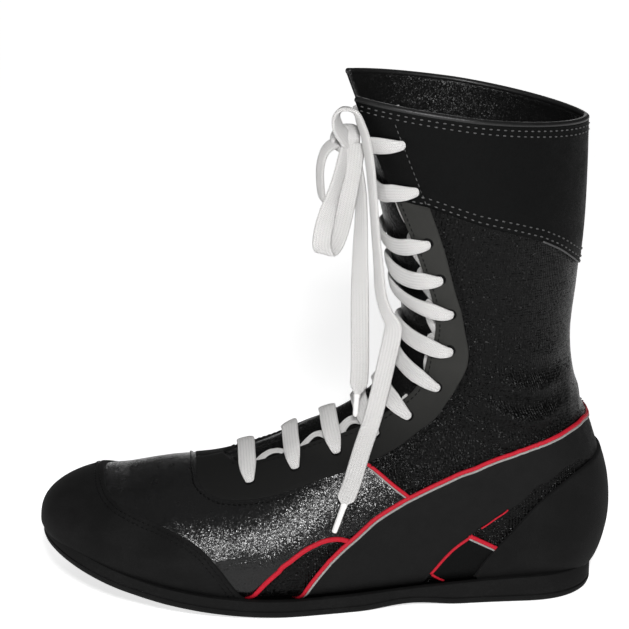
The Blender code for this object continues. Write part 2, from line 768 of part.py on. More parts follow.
def lace_rise(place, angle):
    """Distance of the lace's middle from the surface, more where the surface is hollow under its width."""
    centre = lace_point(place, angle)
    ahead = lace_point(place + HOLLOW_STEP, angle) - centre
    behind = lace_point(place - HOLLOW_STEP, angle) - centre
    hollow = (ahead + behind).dot(lace_normal(place, angle)) / 2.0
    spread = (ahead - behind).length / 2.0
    hollow *= HOLLOW_ALLOWANCE * (LACE_WIDTH / 2.0 * MM / spread) ** 2
    return max(hollow, 0.0) + (LACE_GAP + LACE_THICKNESS / 2.0) * MM


def ribbon_mesh(points, normals):
    """Flat lace along points, with its flat sides square to the normals."""
    rings = []
    last = len(points) - 1
    half = LACE_WIDTH / 2.0 * MM
    flat = half - LACE_EDGE * MM
    thick = LACE_THICKNESS / 2.0 * MM
    outline = ((-half, 0.0), (-flat, thick), (flat, thick), (half, 0.0), (flat, -thick), (-flat, -thick))
    for i in range(last + 1):
        tangent = (points[min(i + 1, last)] - points[max(i - 1, 0)]).normalized()
        side = normals[i].cross(tangent).normalized()
        up = tangent.cross(side)
        rings.append([points[i] + side * across + up * rise for across, rise in outline])
    return rings_mesh(rings)


def bar_stops(row):
    """Places and angles along a bar of the lace: outer flap, the throat with its droop, inner flap."""
    section = body_section(row.place)
    outer_edge, inner_edge = (angle_at(section, y) for y in throat_edges(row.place))
    corners = (-math.radians(row.outer_turn), outer_edge, inner_edge, math.radians(row.inner_turn))
    angles = [corners[0]]
    for start, end, steps in zip(corners, corners[1:], LACE_BAR_STEPS):
        angles += [start + (end - start) * (i + 1) / steps for i in range(steps)]
    places = []
    for angle in angles:
        share = (angle - outer_edge) / (inner_edge - outer_edge)
        hang = max(4.0 * share * (1.0 - share), 0.0)
        places.append(row.place - row.droop * hang ** 2)
    return list(zip(places, angles))


def make_lace_bars(made):
    """Bars of the lace from eyelet to eyelet."""
    for number, row in enumerate(LACE_ROWS, 1):
        stops = bar_stops(row)
        normals = [lace_normal(place, angle) for place, angle in stops]
        points = [lace_point(place, angle) + normal * lace_rise(place, angle)
                  for (place, angle), normal in zip(stops, normals)]
        add_object(f"lace_bar_{number:02d}", ribbon_mesh(points, normals), made)


def make_knot(made):
    """Rounded lump where the loops and ends of the lace meet."""
    mesh = bmesh.new()
    bmesh.ops.create_uvsphere(mesh, u_segments=14, v_segments=8, radius=0.5)
    bmesh.ops.scale(mesh, vec=Vector(KNOT_SIZE) * MM, verts=mesh.verts)
    bmesh.ops.translate(mesh, vec=place_point(*KNOT_CENTRE), verts=mesh.verts)
    add_object("lace_knot", mesh, made)


def make_free_lace(name, route, made):
    """Hanging stretch of the lace along a route that starts at the knot."""
    stops = smooth_path(route, ROUTE_STEPS)
    points = [place_point(stop.along, stop.y, stop.z) for stop in stops]
    turns = [math.radians(stop.facing) for stop in stops]
    normals = [Vector((0.0, -math.cos(turn), math.sin(turn))) for turn in turns]
    add_object(name, ribbon_mesh(points, normals), made)


def make_lace_tip(name, ends, made):
    """Round hard tip at the end of the lace."""
    start = place_point(*ends[0])
    end = place_point(*ends[1])
    mesh = bmesh.new()
    bmesh.ops.create_cone(mesh, cap_ends=True, segments=10, depth=(end - start).length,
                          radius1=TIP_RADIUS * MM, radius2=TIP_RADIUS * 0.8 * MM)
    turn = Vector((0.0, 0.0, 1.0)).rotation_difference(end - start).to_matrix()
    bmesh.ops.rotate(mesh, matrix=turn, verts=mesh.verts)
    bmesh.ops.translate(mesh, vec=(start + end) / 2.0, verts=mesh.verts)
    add_object(name, mesh, made)


def main():
    clear_scene()
    make_outsole()
    make_upper()
    make_insole()
    make_tongue()
    make_overlay("toe_cap", TOE_CAP_EDGE, PATTERN_LENGTH + BEYOND_ENDS)
    make_overlay("heel_counter", HEEL_COUNTER_EDGE, -BEYOND_ENDS)
    lace = material("lace_cotton", LACE_WHITE, 0.9)
    make_lace_bars(lace)
    make_knot(lace)
    make_free_lace("lace_end_short", SHORT_END, lace)
    make_free_lace("lace_end_long", LONG_END, lace)
    make_free_lace("lace_loop_small", SMALL_LOOP, lace)
    make_free_lace("lace_loop_large", LARGE_LOOP, lace)
    tip = material("lace_tip_plastic", LACE_WHITE, 0.4)
    make_lace_tip("lace_tip_short", SHORT_TIP, tip)
    make_lace_tip("lace_tip_long", LONG_TIP, tip)


main()
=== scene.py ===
"""Looks of a left boxing shoe: dense skins on the form of the solids, panels, piping, seams and lace.

Lengths are in millimetres unless a name says metres. "Along" runs from the heel to the toe.
A place counts along the form: -1 at the toe's tip, 0 and up over the rows of SECTIONS, 17 at the collar.
An angle counts around the form from the ridge, in degrees, and is negative on the outer side.
"""
import math
from collections import namedtuple

import bmesh
import bpy
import numpy as np
from mathutils import Matrix, Vector


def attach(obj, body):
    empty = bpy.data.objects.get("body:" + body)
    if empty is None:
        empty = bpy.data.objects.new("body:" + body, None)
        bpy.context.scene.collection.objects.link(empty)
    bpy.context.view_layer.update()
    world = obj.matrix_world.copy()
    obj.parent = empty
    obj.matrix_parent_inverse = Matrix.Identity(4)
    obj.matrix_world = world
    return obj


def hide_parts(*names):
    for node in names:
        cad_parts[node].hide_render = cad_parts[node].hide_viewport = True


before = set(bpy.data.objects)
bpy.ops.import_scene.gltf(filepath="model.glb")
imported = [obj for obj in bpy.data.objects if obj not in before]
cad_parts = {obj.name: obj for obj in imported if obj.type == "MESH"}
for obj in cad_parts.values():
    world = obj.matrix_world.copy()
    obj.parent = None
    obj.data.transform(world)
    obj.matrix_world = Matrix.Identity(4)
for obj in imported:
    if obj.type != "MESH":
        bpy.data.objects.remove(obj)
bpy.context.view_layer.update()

MM = 0.001
UV_UNIT = 10.0
HALVINGS = 24


def rows_of(kind, *rows):
    """Table with named columns."""
    return tuple(kind(*row) for row in rows)


# Form of the shoe, as in the solids
SHOE_LENGTH = 293.0
WALL = 2.0
HEEL_THICKNESS = 8.0
TOE_THICKNESS = 5.0
THICKNESS_FADE = (60.0, 150.0)
TOE_SPRING = 26.0
SPRING_START = 160.0
SOLE_TIP = 292.0
SOLE_BACK = 7.5
ARCH_SPAN = (78.0, 132.0)
ARCH_HEIGHT = 2.2
RIM_ABOVE_FLOOR = 4.5
HEEL_RIM_RISE = 2.0
HEEL_RIM_FADE = (20.0, 90.0)
TOE_RIM_RISE = 1.5
TOE_RIM_FADE = (235.0, 285.0)
LOWER_EDGE = 2.4
TOE_ROUND_START = 247.0
TOE_TIP = 291.5
TOE_TIP_Y = 8.0
TOE_TIP_LIFT = 3.0
TOE_ROUND = 2.1
TOE_TOP_ROUND = 2.6
TOE_TOP_FALL = 0.05
TOE_LIFT_POWER = 8
TOE_LAST_TURN = 0.999
HEEL_ROUND_LENGTH = 36.0
HEEL_ROUND = 2.3
Section = namedtuple(
    "Section", "top_along top_z base_along lift ridge outer inner widest top_round base_round")
SECTIONS = rows_of(
    Section,
    (247.0, 61.2, 247.0, 0.0, 6.0, 40.5, 45.0, 0.36, 2.00, 4.0),
    (225.0, 65.8, 225.0, 0.0, 5.0, 46.6, 47.0, 0.33, 1.85, 4.0),
    (200.0, 69.0, 200.0, 0.0, 4.0, 49.6, 47.2, 0.30, 1.75, 4.2),
    (175.0, 77.0, 174.0, 0.0, 3.0, 50.0, 45.0, 0.28, 1.70, 4.5),
    (153.0, 88.0, 147.0, 0.0, 2.0, 46.5, 41.0, 0.27, 1.75, 4.5),
    (138.0, 96.5, 114.0, 0.0, 1.0, 41.5, 36.5, 0.27, 1.80, 4.5),
    (127.0, 106.0, 74.0, 0.0, 0.5, 37.5, 34.5, 0.27, 1.90, 4.5),
    (120.0, 117.0, 36.0, 0.0, 0.0, 36.0, 34.5, 0.28, 2.00, 4.0),
    (116.5, 127.0, 12.0, 2.0, 0.0, 36.0, 35.0, 0.28, 2.00, 2.8),
    (114.5, 136.0, 1.5, 22.0, 0.0, 36.0, 35.5, 0.30, 2.00, 2.2),
    (114.0, 145.0, 1.0, 47.0, 0.0, 35.5, 35.5, 0.36, 2.00, 2.1),
    (114.5, 154.0, 8.5, 74.0, 0.0, 34.5, 35.0, 0.42, 2.05, 2.1),
    (116.5, 165.0, 18.0, 103.0, 0.0, 34.0, 34.5, 0.47, 2.10, 2.1),
    (119.5, 178.0, 21.0, 127.0, 0.0, 35.0, 35.0, 0.48, 2.15, 2.1),
    (125.5, 198.0, 18.5, 155.0, 0.0, 37.5, 37.5, 0.48, 2.20, 2.0),
    (133.5, 221.0, 16.0, 185.0, 0.0, 40.5, 40.5, 0.48, 2.20, 1.9),
    (141.0, 243.0, 15.2, 212.0, 0.0, 42.5, 42.5, 0.48, 2.20, 1.75),
    (148.5, 266.5, 15.2, 238.5, 0.0, 44.0, 44.0, 0.48, 2.20, 1.65),
)
COLLAR = len(SECTIONS) - 1.0
ThroatRow = namedtuple("ThroatRow", "place outer inner")
THROAT = rows_of(
    ThroatRow,
    (2.10, 3.0, 2.0), (2.18, 8.0, 5.0), (2.40, 13.0, 8.0), (2.70, 15.5, 10.0), (4.00, 17.5, 13.0),
    (6.00, 19.0, 18.0), (8.00, 21.0, 21.0), (10.0, 23.5, 23.5), (11.0, 26.5, 26.0), (12.0, 29.0, 28.5),
    (13.0, 30.0, 29.5), (15.0, 31.0, 30.5), (17.0, 29.5, 29.5), (17.6, 29.2, 29.2),
)
THROAT_END = THROAT[0].place - 0.015
SlackRow = namedtuple("SlackRow", "place share")
SLACK = rows_of(
    SlackRow,
    (2.0, 0.20), (5.0, 0.30), (9.0, 0.45), (12.5, 0.33), (14.2, 0.50), (15.3, 0.80), (16.2, 1.00),
    (17.6, 1.00),
)
PlanRow = namedtuple("PlanRow", "along outer inner")
SOLE_PLAN = rows_of(
    PlanRow,
    (0.0, 37.5, 37.0), (40.0, 38.2, 36.8), (75.0, 39.5, 36.5), (110.0, 43.0, 38.0), (145.0, 48.5, 42.8),
    (175.0, 52.2, 47.2), (205.0, 51.6, 49.4), (230.0, 47.8, 49.0), (250.0, 41.8, 46.8),
    (292.0, 30.5, 41.0),
)
EdgeRow = namedtuple("EdgeRow", "height along")
TOE_CAP_EDGE = rows_of(
    EdgeRow,
    (11.0, 190.5), (20.0, 197.0), (28.4, 203.0), (38.5, 213.0), (46.0, 229.0), (52.0, 250.0),
    (57.0, 258.0), (66.0, 261.5),
)
HEEL_COUNTER_EDGE = rows_of(
    EdgeRow,
    (13.5, 72.2), (22.0, 67.5), (38.3, 53.3), (57.0, 36.7), (66.0, 24.9), (70.0, 16.2), (74.0, 0.0),
)
TongueRow = namedtuple("TongueRow", "place half_turn")
TONGUE = rows_of(
    TongueRow,
    (1.5, 24.0), (3.0, 34.0), (5.0, 40.0), (7.0, 48.0), (9.0, 52.0), (16.3, 52.0),
)
TONGUE_FLATTER = 0.8
TONGUE_NARROWER = 0.12
TONGUE_FLAT_FROM = 20.0
TONGUE_BEHIND_LACE = 1.2
LaceRow = namedtuple("LaceRow", "place outer_turn inner_turn droop")
LACE_ROWS = rows_of(
    LaceRow,
    (2.56, 33.0, 27.0, 0.0), (3.52, 34.5, 30.0, 0.0), (4.56, 36.5, 33.0, 0.0), (5.76, 39.0, 37.0, 0.0),
    (7.00, 42.5, 41.0, 0.1), (9.00, 47.0, 46.0, 0.33), (11.08, 61.0, 59.0, 0.85),
    (12.48, 70.5, 68.0, 0.36), (13.40, 67.5, 66.0, 0.42), (14.16, 63.5, 62.0, 0.39),
    (15.28, 63.0, 62.0, 0.3), (16.28, 61.5, 61.0, 0.15),
)

# Routes of the free lace, with the way its flat side looks: facing turns from the outer side towards
# straight up, and twist turns about the lace's own line
KNOT_CENTRE = (136.8, -17.0, 241.5)
RouteRow = namedtuple("RouteRow", "along y z facing twist")
SHORT_END = rows_of(
    RouteRow,
    (134.2, -18.0, 236.1, 0.0, 50.0), (131.9, -20.0, 229.0, 0.0, 60.0), (129.9, -21.0, 216.5, 0.0, 62.0),
    (129.6, -21.0, 203.7, 0.0, 55.0), (130.0, -21.0, 185.6, 0.0, 40.0), (130.1, -21.0, 164.8, 0.0, 20.0),
    (130.0, -21.0, 143.7, 0.0, 5.0), (129.9, -21.0, 125.2, 0.0, 0.0), (130.4, -21.0, 115.0, 0.0, 0.0),
    (131.4, -21.0, 108.6, 0.0, 0.0),
)
SHORT_TIP = ((131.3, -21.0, 109.0), (132.1, -21.0, 97.3))
LONG_END = rows_of(
    RouteRow,
    (134.5, -22.0, 238.9, 0.0, 35.0), (138.1, -25.0, 243.8, 0.0, 45.0), (141.7, -27.0, 249.4, 0.0, 55.0),
    (142.8, -28.5, 255.3, 0.0, 66.0), (140.7, -30.0, 259.2, 0.0, 76.0), (137.2, -31.5, 260.0, 0.0, 80.0),
    (133.4, -33.0, 258.3, 0.0, 76.0), (130.9, -35.0, 252.8, 0.0, 70.0), (128.8, -37.0, 245.9, 0.0, 68.0),
    (127.0, -40.0, 234.1, 0.0, 68.0), (125.7, -42.0, 219.6, 0.0, 70.0), (124.3, -42.5, 201.0, 0.0, 70.0),
    (122.7, -41.5, 184.3, 0.0, 66.0), (121.4, -40.0, 169.4, 0.0, 60.0), (118.5, -38.5, 159.0, 0.0, 50.0),
    (114.9, -37.0, 151.1, 0.0, 30.0), (115.2, -35.5, 143.8, 5.0, 10.0), (117.3, -32.5, 131.2, 15.0, 0.0),
    (120.4, -29.5, 114.3, 25.0, 0.0), (124.2, -28.5, 98.0, 30.0, 0.0), (129.5, -32.0, 83.2, 32.0, 0.0),
    (134.9, -38.0, 67.9, 30.0, 0.0), (138.1, -41.0, 61.1, 25.0, 0.0), (139.2, -42.5, 57.9, 20.0, 0.0),
)
LONG_TIP = ((139.1, -42.4, 58.1), (144.6, -47.0, 44.7))
LARGE_LOOP = rows_of(
    RouteRow,
    (132.7, -24.0, 241.0, 0.0, 10.0), (133.8, -27.0, 233.2, 0.0, 5.0), (135.9, -29.0, 221.1, 0.0, 0.0),
    (138.4, -30.0, 208.7, 0.0, 0.0), (141.1, -31.0, 198.0, 5.0, 0.0), (144.4, -33.0, 191.0, 40.0, 0.0),
    (147.8, -36.0, 188.8, 85.0, 0.0), (150.3, -39.0, 193.0, 140.0, 0.0),
    (149.8, -40.0, 201.0, 170.0, 0.0), (147.6, -39.0, 210.2, 180.0, 20.0),
    (144.6, -36.0, 218.4, 180.0, 40.0), (141.4, -32.0, 227.1, 180.0, 45.0),
    (138.6, -27.0, 234.8, 180.0, 40.0), (136.9, -23.0, 239.0, 180.0, 35.0),
)
SMALL_LOOP = rows_of(
    RouteRow,
    (138.3, -19.0, 240.5, 0.0, 70.0), (143.2, -20.0, 239.8, 0.0, 72.0), (147.7, -21.0, 236.1, 0.0, 74.0),
    (149.9, -21.0, 228.5, 0.0, 74.0), (149.9, -21.0, 219.5, 0.0, 73.0), (148.8, -20.8, 212.6, 0.0, 74.0),
    (145.4, -20.2, 209.2, 0.0, 75.0), (142.0, -19.4, 212.4, 0.0, 72.0), (140.9, -18.6, 219.5, 0.0, 68.0),
    (140.2, -17.8, 227.2, 0.0, 63.0), (138.9, -17.2, 233.4, 0.0, 60.0),
)
LACE_WIDTH = 9.2
LACE_THICKNESS = 2.4

# Lines on the form: panel edges, piping and seams of the outer side. The inner side has the same.
LineRow = namedtuple("LineRow", "place angle")
MAIN_PIPING = rows_of(
    LineRow,
    (3.24, -150.0), (3.40, -140.0), (3.52, -130.0), (3.64, -118.3), (3.80, -106.2), (3.96, -95.0),
    (4.04, -89.9), (4.12, -88.1), (4.29, -85.0), (4.46, -82.5), (4.64, -80.2), (4.82, -77.8),
    (5.04, -75.1), (5.31, -72.9), (5.57, -71.3), (5.84, -70.0), (6.42, -68.5), (7.09, -67.8),
    (7.54, -67.8), (8.02, -68.6), (8.45, -70.9), (8.85, -74.4), (9.26, -79.1), (9.46, -82.1),
    (9.68, -85.7), (9.88, -89.5), (9.98, -92.4), (10.07, -95.8), (10.23, -101.5), (10.41, -108.2),
    (10.61, -116.2), (10.79, -123.8), (10.96, -132.2), (11.12, -142.4), (11.23, -152.2), (11.27, -165.0),
    (11.28, -180.0),
)
RED_ARC = rows_of(
    LineRow,
    (2.30, -148.0), (2.42, -138.0), (2.56, -126.0), (2.73, -111.8), (2.91, -99.0), (3.09, -88.9),
    (3.30, -85.0), (3.50, -82.0), (3.67, -80.2), (3.84, -79.1), (4.00, -78.4), (4.16, -78.5),
    (4.32, -79.3), (4.47, -81.0),
)
RED_SEAM = rows_of(
    LineRow,
    (5.12, -46.0), (5.31, -50.3), (5.47, -55.7), (5.58, -60.0), (5.68, -63.8), (5.84, -69.5),
)
COLLAR_SEAM = rows_of(
    LineRow,
    (14.76, -46.0), (14.88, -51.0), (14.96, -66.0), (14.90, -78.0), (14.84, -88.5), (14.80, -109.5),
    (14.74, -124.5), (14.62, -138.0), (14.46, -152.0), (14.34, -165.0), (14.30, -180.0),
)
FACING_EDGE = rows_of(
    LineRow,
    (1.50, 0.0), (1.50, -15.0), (1.54, -27.0), (1.70, -35.0), (2.04, -41.5), (2.76, -45.0), (3.80, -46.5),
    (4.84, -48.0), (5.90, -48.5), (7.20, -48.0), (8.56, -49.5), (9.50, -54.0), (10.30, -60.5),
    (11.00, -67.5), (11.72, -73.5), (12.60, -75.5), (13.40, -72.5), (14.20, -69.5), (14.95, -66.0),
)
FACING_THROAT_PLACES = (2.08, 2.11, 2.18, 2.40, 2.70, 3.20, 4.00, 5.00, 6.00, 7.00, 8.00, 9.00, 10.0,
                        11.0, 11.9, 12.8, 13.5, 14.3, 14.95)
SIDE_PANEL_FOOT = rows_of(
    LineRow,
    (3.34, -156.0), (3.50, -156.0), (3.75, -156.0), (4.10, -156.0), (4.40, -156.0), (4.70, -156.0),
    (5.00, -156.0), (5.25, -150.0), (5.60, -122.0), (6.05, -101.5), (6.55, -88.8), (6.97, -86.1),
    (7.64, -83.0), (8.51, -84.5), (9.07, -89.1), (9.45, -99.0), (9.83, -110.1), (10.10, -120.0),
    (10.28, -129.3), (10.42, -146.7), (10.58, -166.0), (10.64, -180.0),
)
WINDOW = rows_of(
    LineRow,
    (5.60, -122.0), (5.88, -108.2), (6.15, -98.0), (6.47, -89.4), (6.61, -97.6), (6.75, -105.8),
)
THIN_LINE = rows_of(
    LineRow,
    (6.73, -87.5), (7.20, -84.9), (7.65, -82.9),
)
WINDOW_FOOT = rows_of(
    LineRow,
    (5.61, -123.0), (5.72, -133.1), (5.90, -137.0), (6.10, -134.0), (6.40, -120.0), (6.74, -107.0),
)
VAMP_BACK_ANGLES = (0, 20, 33, 40, 46, 50.3, 55.7, 60, 63.8, 69.8, 72.8, 75.9, 80, 80.8, 82, 90, 109,
                    130, 156)
VAMP_BACK_PLACES = (1.9, 1.9, 2.2, 3.6, 5.1, 5.31, 5.47, 5.58, 5.68, 5.86, 5.35, 5.0, 4.6, 4.1, 3.5, 3.09,
                    2.73, 2.4, 2.02)

# Soft creases of the ankle and the vamp: a trough from one point of the form to another
CreaseRow = namedtuple("CreaseRow", "place angle end_place end_angle depth width")
CREASES = rows_of(
    CreaseRow,
    (8.3, -56.0, 10.3, -108.0, 1.9, 4.2), (9.2, -62.0, 11.1, -124.0, 2.1, 3.8),
    (10.3, -70.0, 11.7, -135.0, 1.7, 3.8), (11.5, -84.0, 12.4, -150.0, 1.2, 4.2),
    (7.4, -56.0, 9.2, -80.0, 1.2, 3.8), (8.8, 58.0, 10.6, 112.0, 1.2, 4.5),
    (10.0, 66.0, 11.5, 128.0, 1.4, 4.0), (11.2, 80.0, 12.2, 145.0, 0.9, 4.5),
    (11.5, -165.0, 11.6, -195.0, 1.0, 4.0), (1.7, -58.0, 2.3, -100.0, 0.5, 6.0),
    (2.6, 48.0, 2.7, 90.0, 0.7, 5.0),
)


def ease(value, low, high):
    """Smooth step from 0 at low to 1 at high."""
    share = min(max((value - low) / (high - low), 0.0), 1.0)
    return share * share * (3.0 - 2.0 * share)


def through_rows(rows, key, column, place):
    """Smooth curve through one column of a table, with rows at their own key values."""
    keys = [getattr(row, key) for row in rows]
    values = [getattr(row, column) for row in rows]
    last = len(rows) - 1
    index = 0
    while index < last - 1 and place > keys[index + 1]:
        index += 1
    before = max(index - 1, 0)
    after = min(index + 2, last)
    span = keys[index + 1] - keys[index]
    slope_low = (values[index + 1] - values[before]) / (keys[index + 1] - keys[before])
    slope_high = (values[after] - values[index]) / (keys[after] - keys[index])
    t = (place - keys[index]) / span
    if t < 0.0:
        return values[index] + slope_low * (place - keys[index])
    if t > 1.0:
        return values[index + 1] + slope_high * (place - keys[index + 1])
    return ((2 * t**3 - 3 * t**2 + 1) * values[index]
            + (t**3 - 2 * t**2 + t) * span * slope_low
            + (3 * t**2 - 2 * t**3) * values[index + 1]
            + (t**3 - t**2) * span * slope_high)


def numbered(rows):
    """Rows of a table with their own number in front, as a column named row."""
    kind = namedtuple("Numbered", "row " + " ".join(rows[0]._fields))
    return [kind(number, *row) for number, row in enumerate(rows)]


def rows_at(rows, stops):
    """Rows on a smooth curve through a table, at stops that count its rows."""
    kind = type(rows[0])
    table = numbered(rows)
    return [kind(*(through_rows(table, "row", column, stop) for column in kind._fields)) for stop in stops]


def smooth_path(rows, steps):
    """Rows on a smooth curve through a table, with a number of steps from each row to the next."""
    return rows_at(rows, [i / steps for i in range((len(rows) - 1) * steps + 1)])


def even_rows(rows, count):
    """A number of rows on a smooth curve through a table, evenly spread over it."""
    return rows_at(rows, [(len(rows) - 1.0) * i / (count - 1.0) for i in range(count)])


def between(low, high, share):
    """Values between two rows of them, by a share."""
    return [one + (two - one) * share for one, two in zip(low, high)]


def halve(low, high, inside):
    """Border between low and high up to which a test is true, found by halving."""
    for _ in range(HALVINGS):
        middle = (low + high) / 2.0
        if inside(middle):
            low = middle
        else:
            high = middle
    return low


def spring(along):
    """Rise of the sole's underside towards the toe."""
    if along <= SPRING_START:
        return 0.0
    share = (along - SPRING_START) / (SOLE_TIP - SPRING_START)
    return TOE_SPRING * share * share


def ground(along):
    """Underside of the sole: flat heel, low arch, flat ball and the toe spring."""
    low, high = ARCH_SPAN
    if low < along < high:
        return ARCH_HEIGHT * math.sin(math.pi * (along - low) / (high - low)) ** 2
    return spring(along)


def footbed(along):
    """Top of the rubber under the foot."""
    thinning = ease(along, *THICKNESS_FADE)
    return spring(along) + HEEL_THICKNESS + (TOE_THICKNESS - HEEL_THICKNESS) * thinning


def rim(along):
    """Top of the sole's wall, which is highest around the heel and the toe."""
    heel_rise = HEEL_RIM_RISE * (1.0 - ease(along, *HEEL_RIM_FADE))
    toe_rise = TOE_RIM_RISE * ease(along, *TOE_RIM_FADE)
    return footbed(along) + RIM_ABOVE_FLOOR + heel_rise + toe_rise


def place_point(along, y, z):
    """Point in metres."""
    return Vector((SHOE_LENGTH / 2.0 - along, y, z)) * MM


def along_of(point):
    """Distance of a point from the back of the shoe."""
    return SHOE_LENGTH / 2.0 - point.x / MM


def toe_section(turn):
    """Section of the rounded toe: turn is 0 at the start of the rounding and 1 at the tip."""
    start = SECTIONS[0]
    following = SECTIONS[1]
    share = math.sin(turn * math.pi / 2.0)
    along = TOE_ROUND_START + (TOE_TIP - TOE_ROUND_START) * share
    run = (along - start.top_along) / (start.top_along - following.top_along)
    left = max(1.0 - share ** TOE_ROUND, 0.0) ** (1.0 / TOE_ROUND)
    top_left = max(1.0 - share ** TOE_TOP_ROUND, 0.0) ** (1.0 / TOE_TOP_ROUND)
    tip_z = footbed(along) + TOE_TIP_LIFT
    top_line = start.top_z - TOE_TOP_FALL * (along - start.top_along)
    outer_line = start.outer + run * (start.outer - following.outer)
    inner_line = start.inner + run * (start.inner - following.inner)
    return start._replace(
        top_along=along, base_along=along,
        top_z=tip_z + (top_line - tip_z) * top_left,
        lift=TOE_TIP_LIFT * share ** TOE_LIFT_POWER,
        ridge=start.ridge + (TOE_TIP_Y - start.ridge) * share,
        outer=-TOE_TIP_Y + (outer_line + TOE_TIP_Y) * left,
        inner=TOE_TIP_Y + (inner_line - TOE_TIP_Y) * left)


FINE_STEPS = 40
FINE_SECTIONS = np.array(rows_at(SECTIONS, [i / FINE_STEPS for i in range(len(SECTIONS) * FINE_STEPS)]))


def section_at(place):
    """Section at a place, on the toe or between the rows of the table."""
    if place < 0.0:
        return toe_section(min(-place, TOE_LAST_TURN))
    position = place * FINE_STEPS
    index = min(int(position), len(FINE_SECTIONS) - 2)
    share = position - index
    return Section(*(FINE_SECTIONS[index] * (1.0 - share) + FINE_SECTIONS[index + 1] * share))


def top_and_base(section):
    """Ends of a section in side view, as distances along the shoe and heights."""
    top = Vector((section.top_along, section.top_z))
    base = Vector((section.base_along, footbed(section.base_along) + section.lift))
    return top, base


def section_local(section, angle):
    """Height along a section's axis and y, for an angle in degrees."""
    top, base = top_and_base(section)
    length = (top - base).length
    forward = math.cos(math.radians(angle))
    across = math.sin(math.radians(angle))
    power = section.base_round
    reach = length * section.widest
    if forward >= 0.0:
        power = section.top_round
        reach = length * (1.0 - section.widest)
    radius = (abs(forward) ** power + abs(across) ** power) ** (-1.0 / power)
    half = section.inner - section.ridge if across >= 0.0 else section.outer + section.ridge
    return length * section.widest + reach * forward * radius, section.ridge + half * across * radius


def from_local(section, height, y):
    """Point in metres of a height along a section's axis and a y."""
    top, base = top_and_base(section)
    flat = base + (top - base).normalized() * height
    return place_point(flat.x, y, flat.y)


def section_point(section, angle):
    """Point on a section in metres."""
    return from_local(section, *section_local(section, angle))


def form_point(place, angle):
    """Point on the form in metres."""
    return section_point(section_at(place), angle)


NORMAL_PLACE = 0.03
NORMAL_ANGLE = 1.5


def form_normal(place, angle, point=form_point):
    """Outward direction of the form, or of another surface over the same places and angles."""
    along = point(place + NORMAL_PLACE, angle) - point(place - NORMAL_PLACE, angle)
    around = point(place, angle + NORMAL_ANGLE) - point(place, angle - NORMAL_ANGLE)
    return along.cross(around).normalized()


CREASE_STEPS = 8
CREASE_REACH = 4.0
CREASE_ENDS = 0.06
CREASE_BLUNT = 0.7
CREASE_RIDGE = 0.55
CREASE_RIDGE_GAP = 1.9


def crease_lines():
    """The creases as rows of points in metres, with their middles and reaches."""
    lines = []
    for row in CREASES:
        points = [form_point(*between(row[:2], row[2:4], i / CREASE_STEPS)) for i in range(CREASE_STEPS + 1)]
        middle = points[CREASE_STEPS // 2]
        reach = max((point - middle).length for point in points) + CREASE_REACH * row.width * MM
        lines.append((row, np.array(points), middle, reach))
    return lines


CREASE_LINES = crease_lines()
PIPING_PLACES = [row.place for row in MAIN_PIPING] + [11.9]
PIPING_TURNS = [-row.angle for row in MAIN_PIPING] + [200.0]
FLAT_BESIDE_PIPING = 14.0


def turn_from_ridge(angle):
    """Turn from the ridge in degrees, the same on both sides."""
    return abs((angle + 180.0) % 360.0 - 180.0)


def crease(point):
    """Height of the creased surface over the form: troughs with soft ridges beside them."""
    height = 0.0
    for row, points, middle, reach in CREASE_LINES:
        if (point - middle).length > reach:
            continue
        starts = points[:-1]
        runs = points[1:] - starts
        target = np.array(point) - starts
        shares = np.clip((target * runs).sum(1) / (runs * runs).sum(1), 0.0, 1.0)
        gaps = np.sqrt(((target - runs * shares[:, None]) ** 2).sum(1))
        best = int(gaps.argmin())
        run_share = (best + shares[best]) / len(runs)
        gap = gaps[best] / (row.width * MM)
        fade = math.sin(math.pi * min(max(run_share, CREASE_ENDS), 1.0 - CREASE_ENDS)) ** CREASE_BLUNT
        ridge = CREASE_RIDGE * math.exp(-(gap - CREASE_RIDGE_GAP) ** 2)
        height += row.depth * fade * (ridge - math.exp(-gap * gap))
    return height


def crease_fade(place, angle):
    """Share of the creases that is left beside the main piping, where the panels hold the cloth flat."""
    seam = float(np.interp(place, PIPING_PLACES, PIPING_TURNS))
    return ease(seam - turn_from_ridge(angle), 0.0, FLAT_BESIDE_PIPING)


def on_form(place, angle, offset):
    """Point in metres at an offset over the creased form."""
    point = form_point(place, angle)
    height = offset + crease(point) * crease_fade(place, angle)
    return point + form_normal(place, angle) * (height * MM)


def throat_edges(place):
    """Angles of the throat's outer and inner edges, both as positive turns."""
    if place < THROAT_END:
        return 0.0, 0.0
    section = section_at(place)
    outer = through_rows(THROAT, "place", "outer", place)
    inner = through_rows(THROAT, "place", "inner", place)
    return -angle_at(section, section.ridge - outer), angle_at(section, section.ridge + inner)


def throat_edge(place, sign):
    """Angle of the throat's edge on the side of a sign."""
    outer, inner = throat_edges(place)
    return -outer if sign < 0.0 else inner


def around_throat(place, shares, margin=0.0):
    """Angles from the throat's inner edge around the back to its outer edge, with a margin at both."""
    outer, inner = throat_edges(place)
    return [inner + margin + (360.0 - 2.0 * margin - inner - outer) * share for share in shares]


def angle_at(section, y):
    """Angle at which the front of a section reaches a y."""
    side = 1.0 if y >= section.ridge else -1.0
    reach = abs(y - section.ridge)

    def short_of(turn):
        """Whether a turn doesn't reach the y yet."""
        return abs(section_local(section, side * turn)[1] - section.ridge) < reach

    return side * halve(0.0, 90.0, short_of)


def mirrored(rows):
    """The same line on the inner side."""
    return [row._replace(angle=-row.angle) for row in rows]


def lengths(points):
    """Running length of a row of points in millimetres."""
    total = [0.0]
    for low, high in zip(points, points[1:]):
        total.append(total[-1] + (high - low).length / MM)
    return total


SIDES = (("outer", tuple, -1.0), ("inner", mirrored, 1.0))


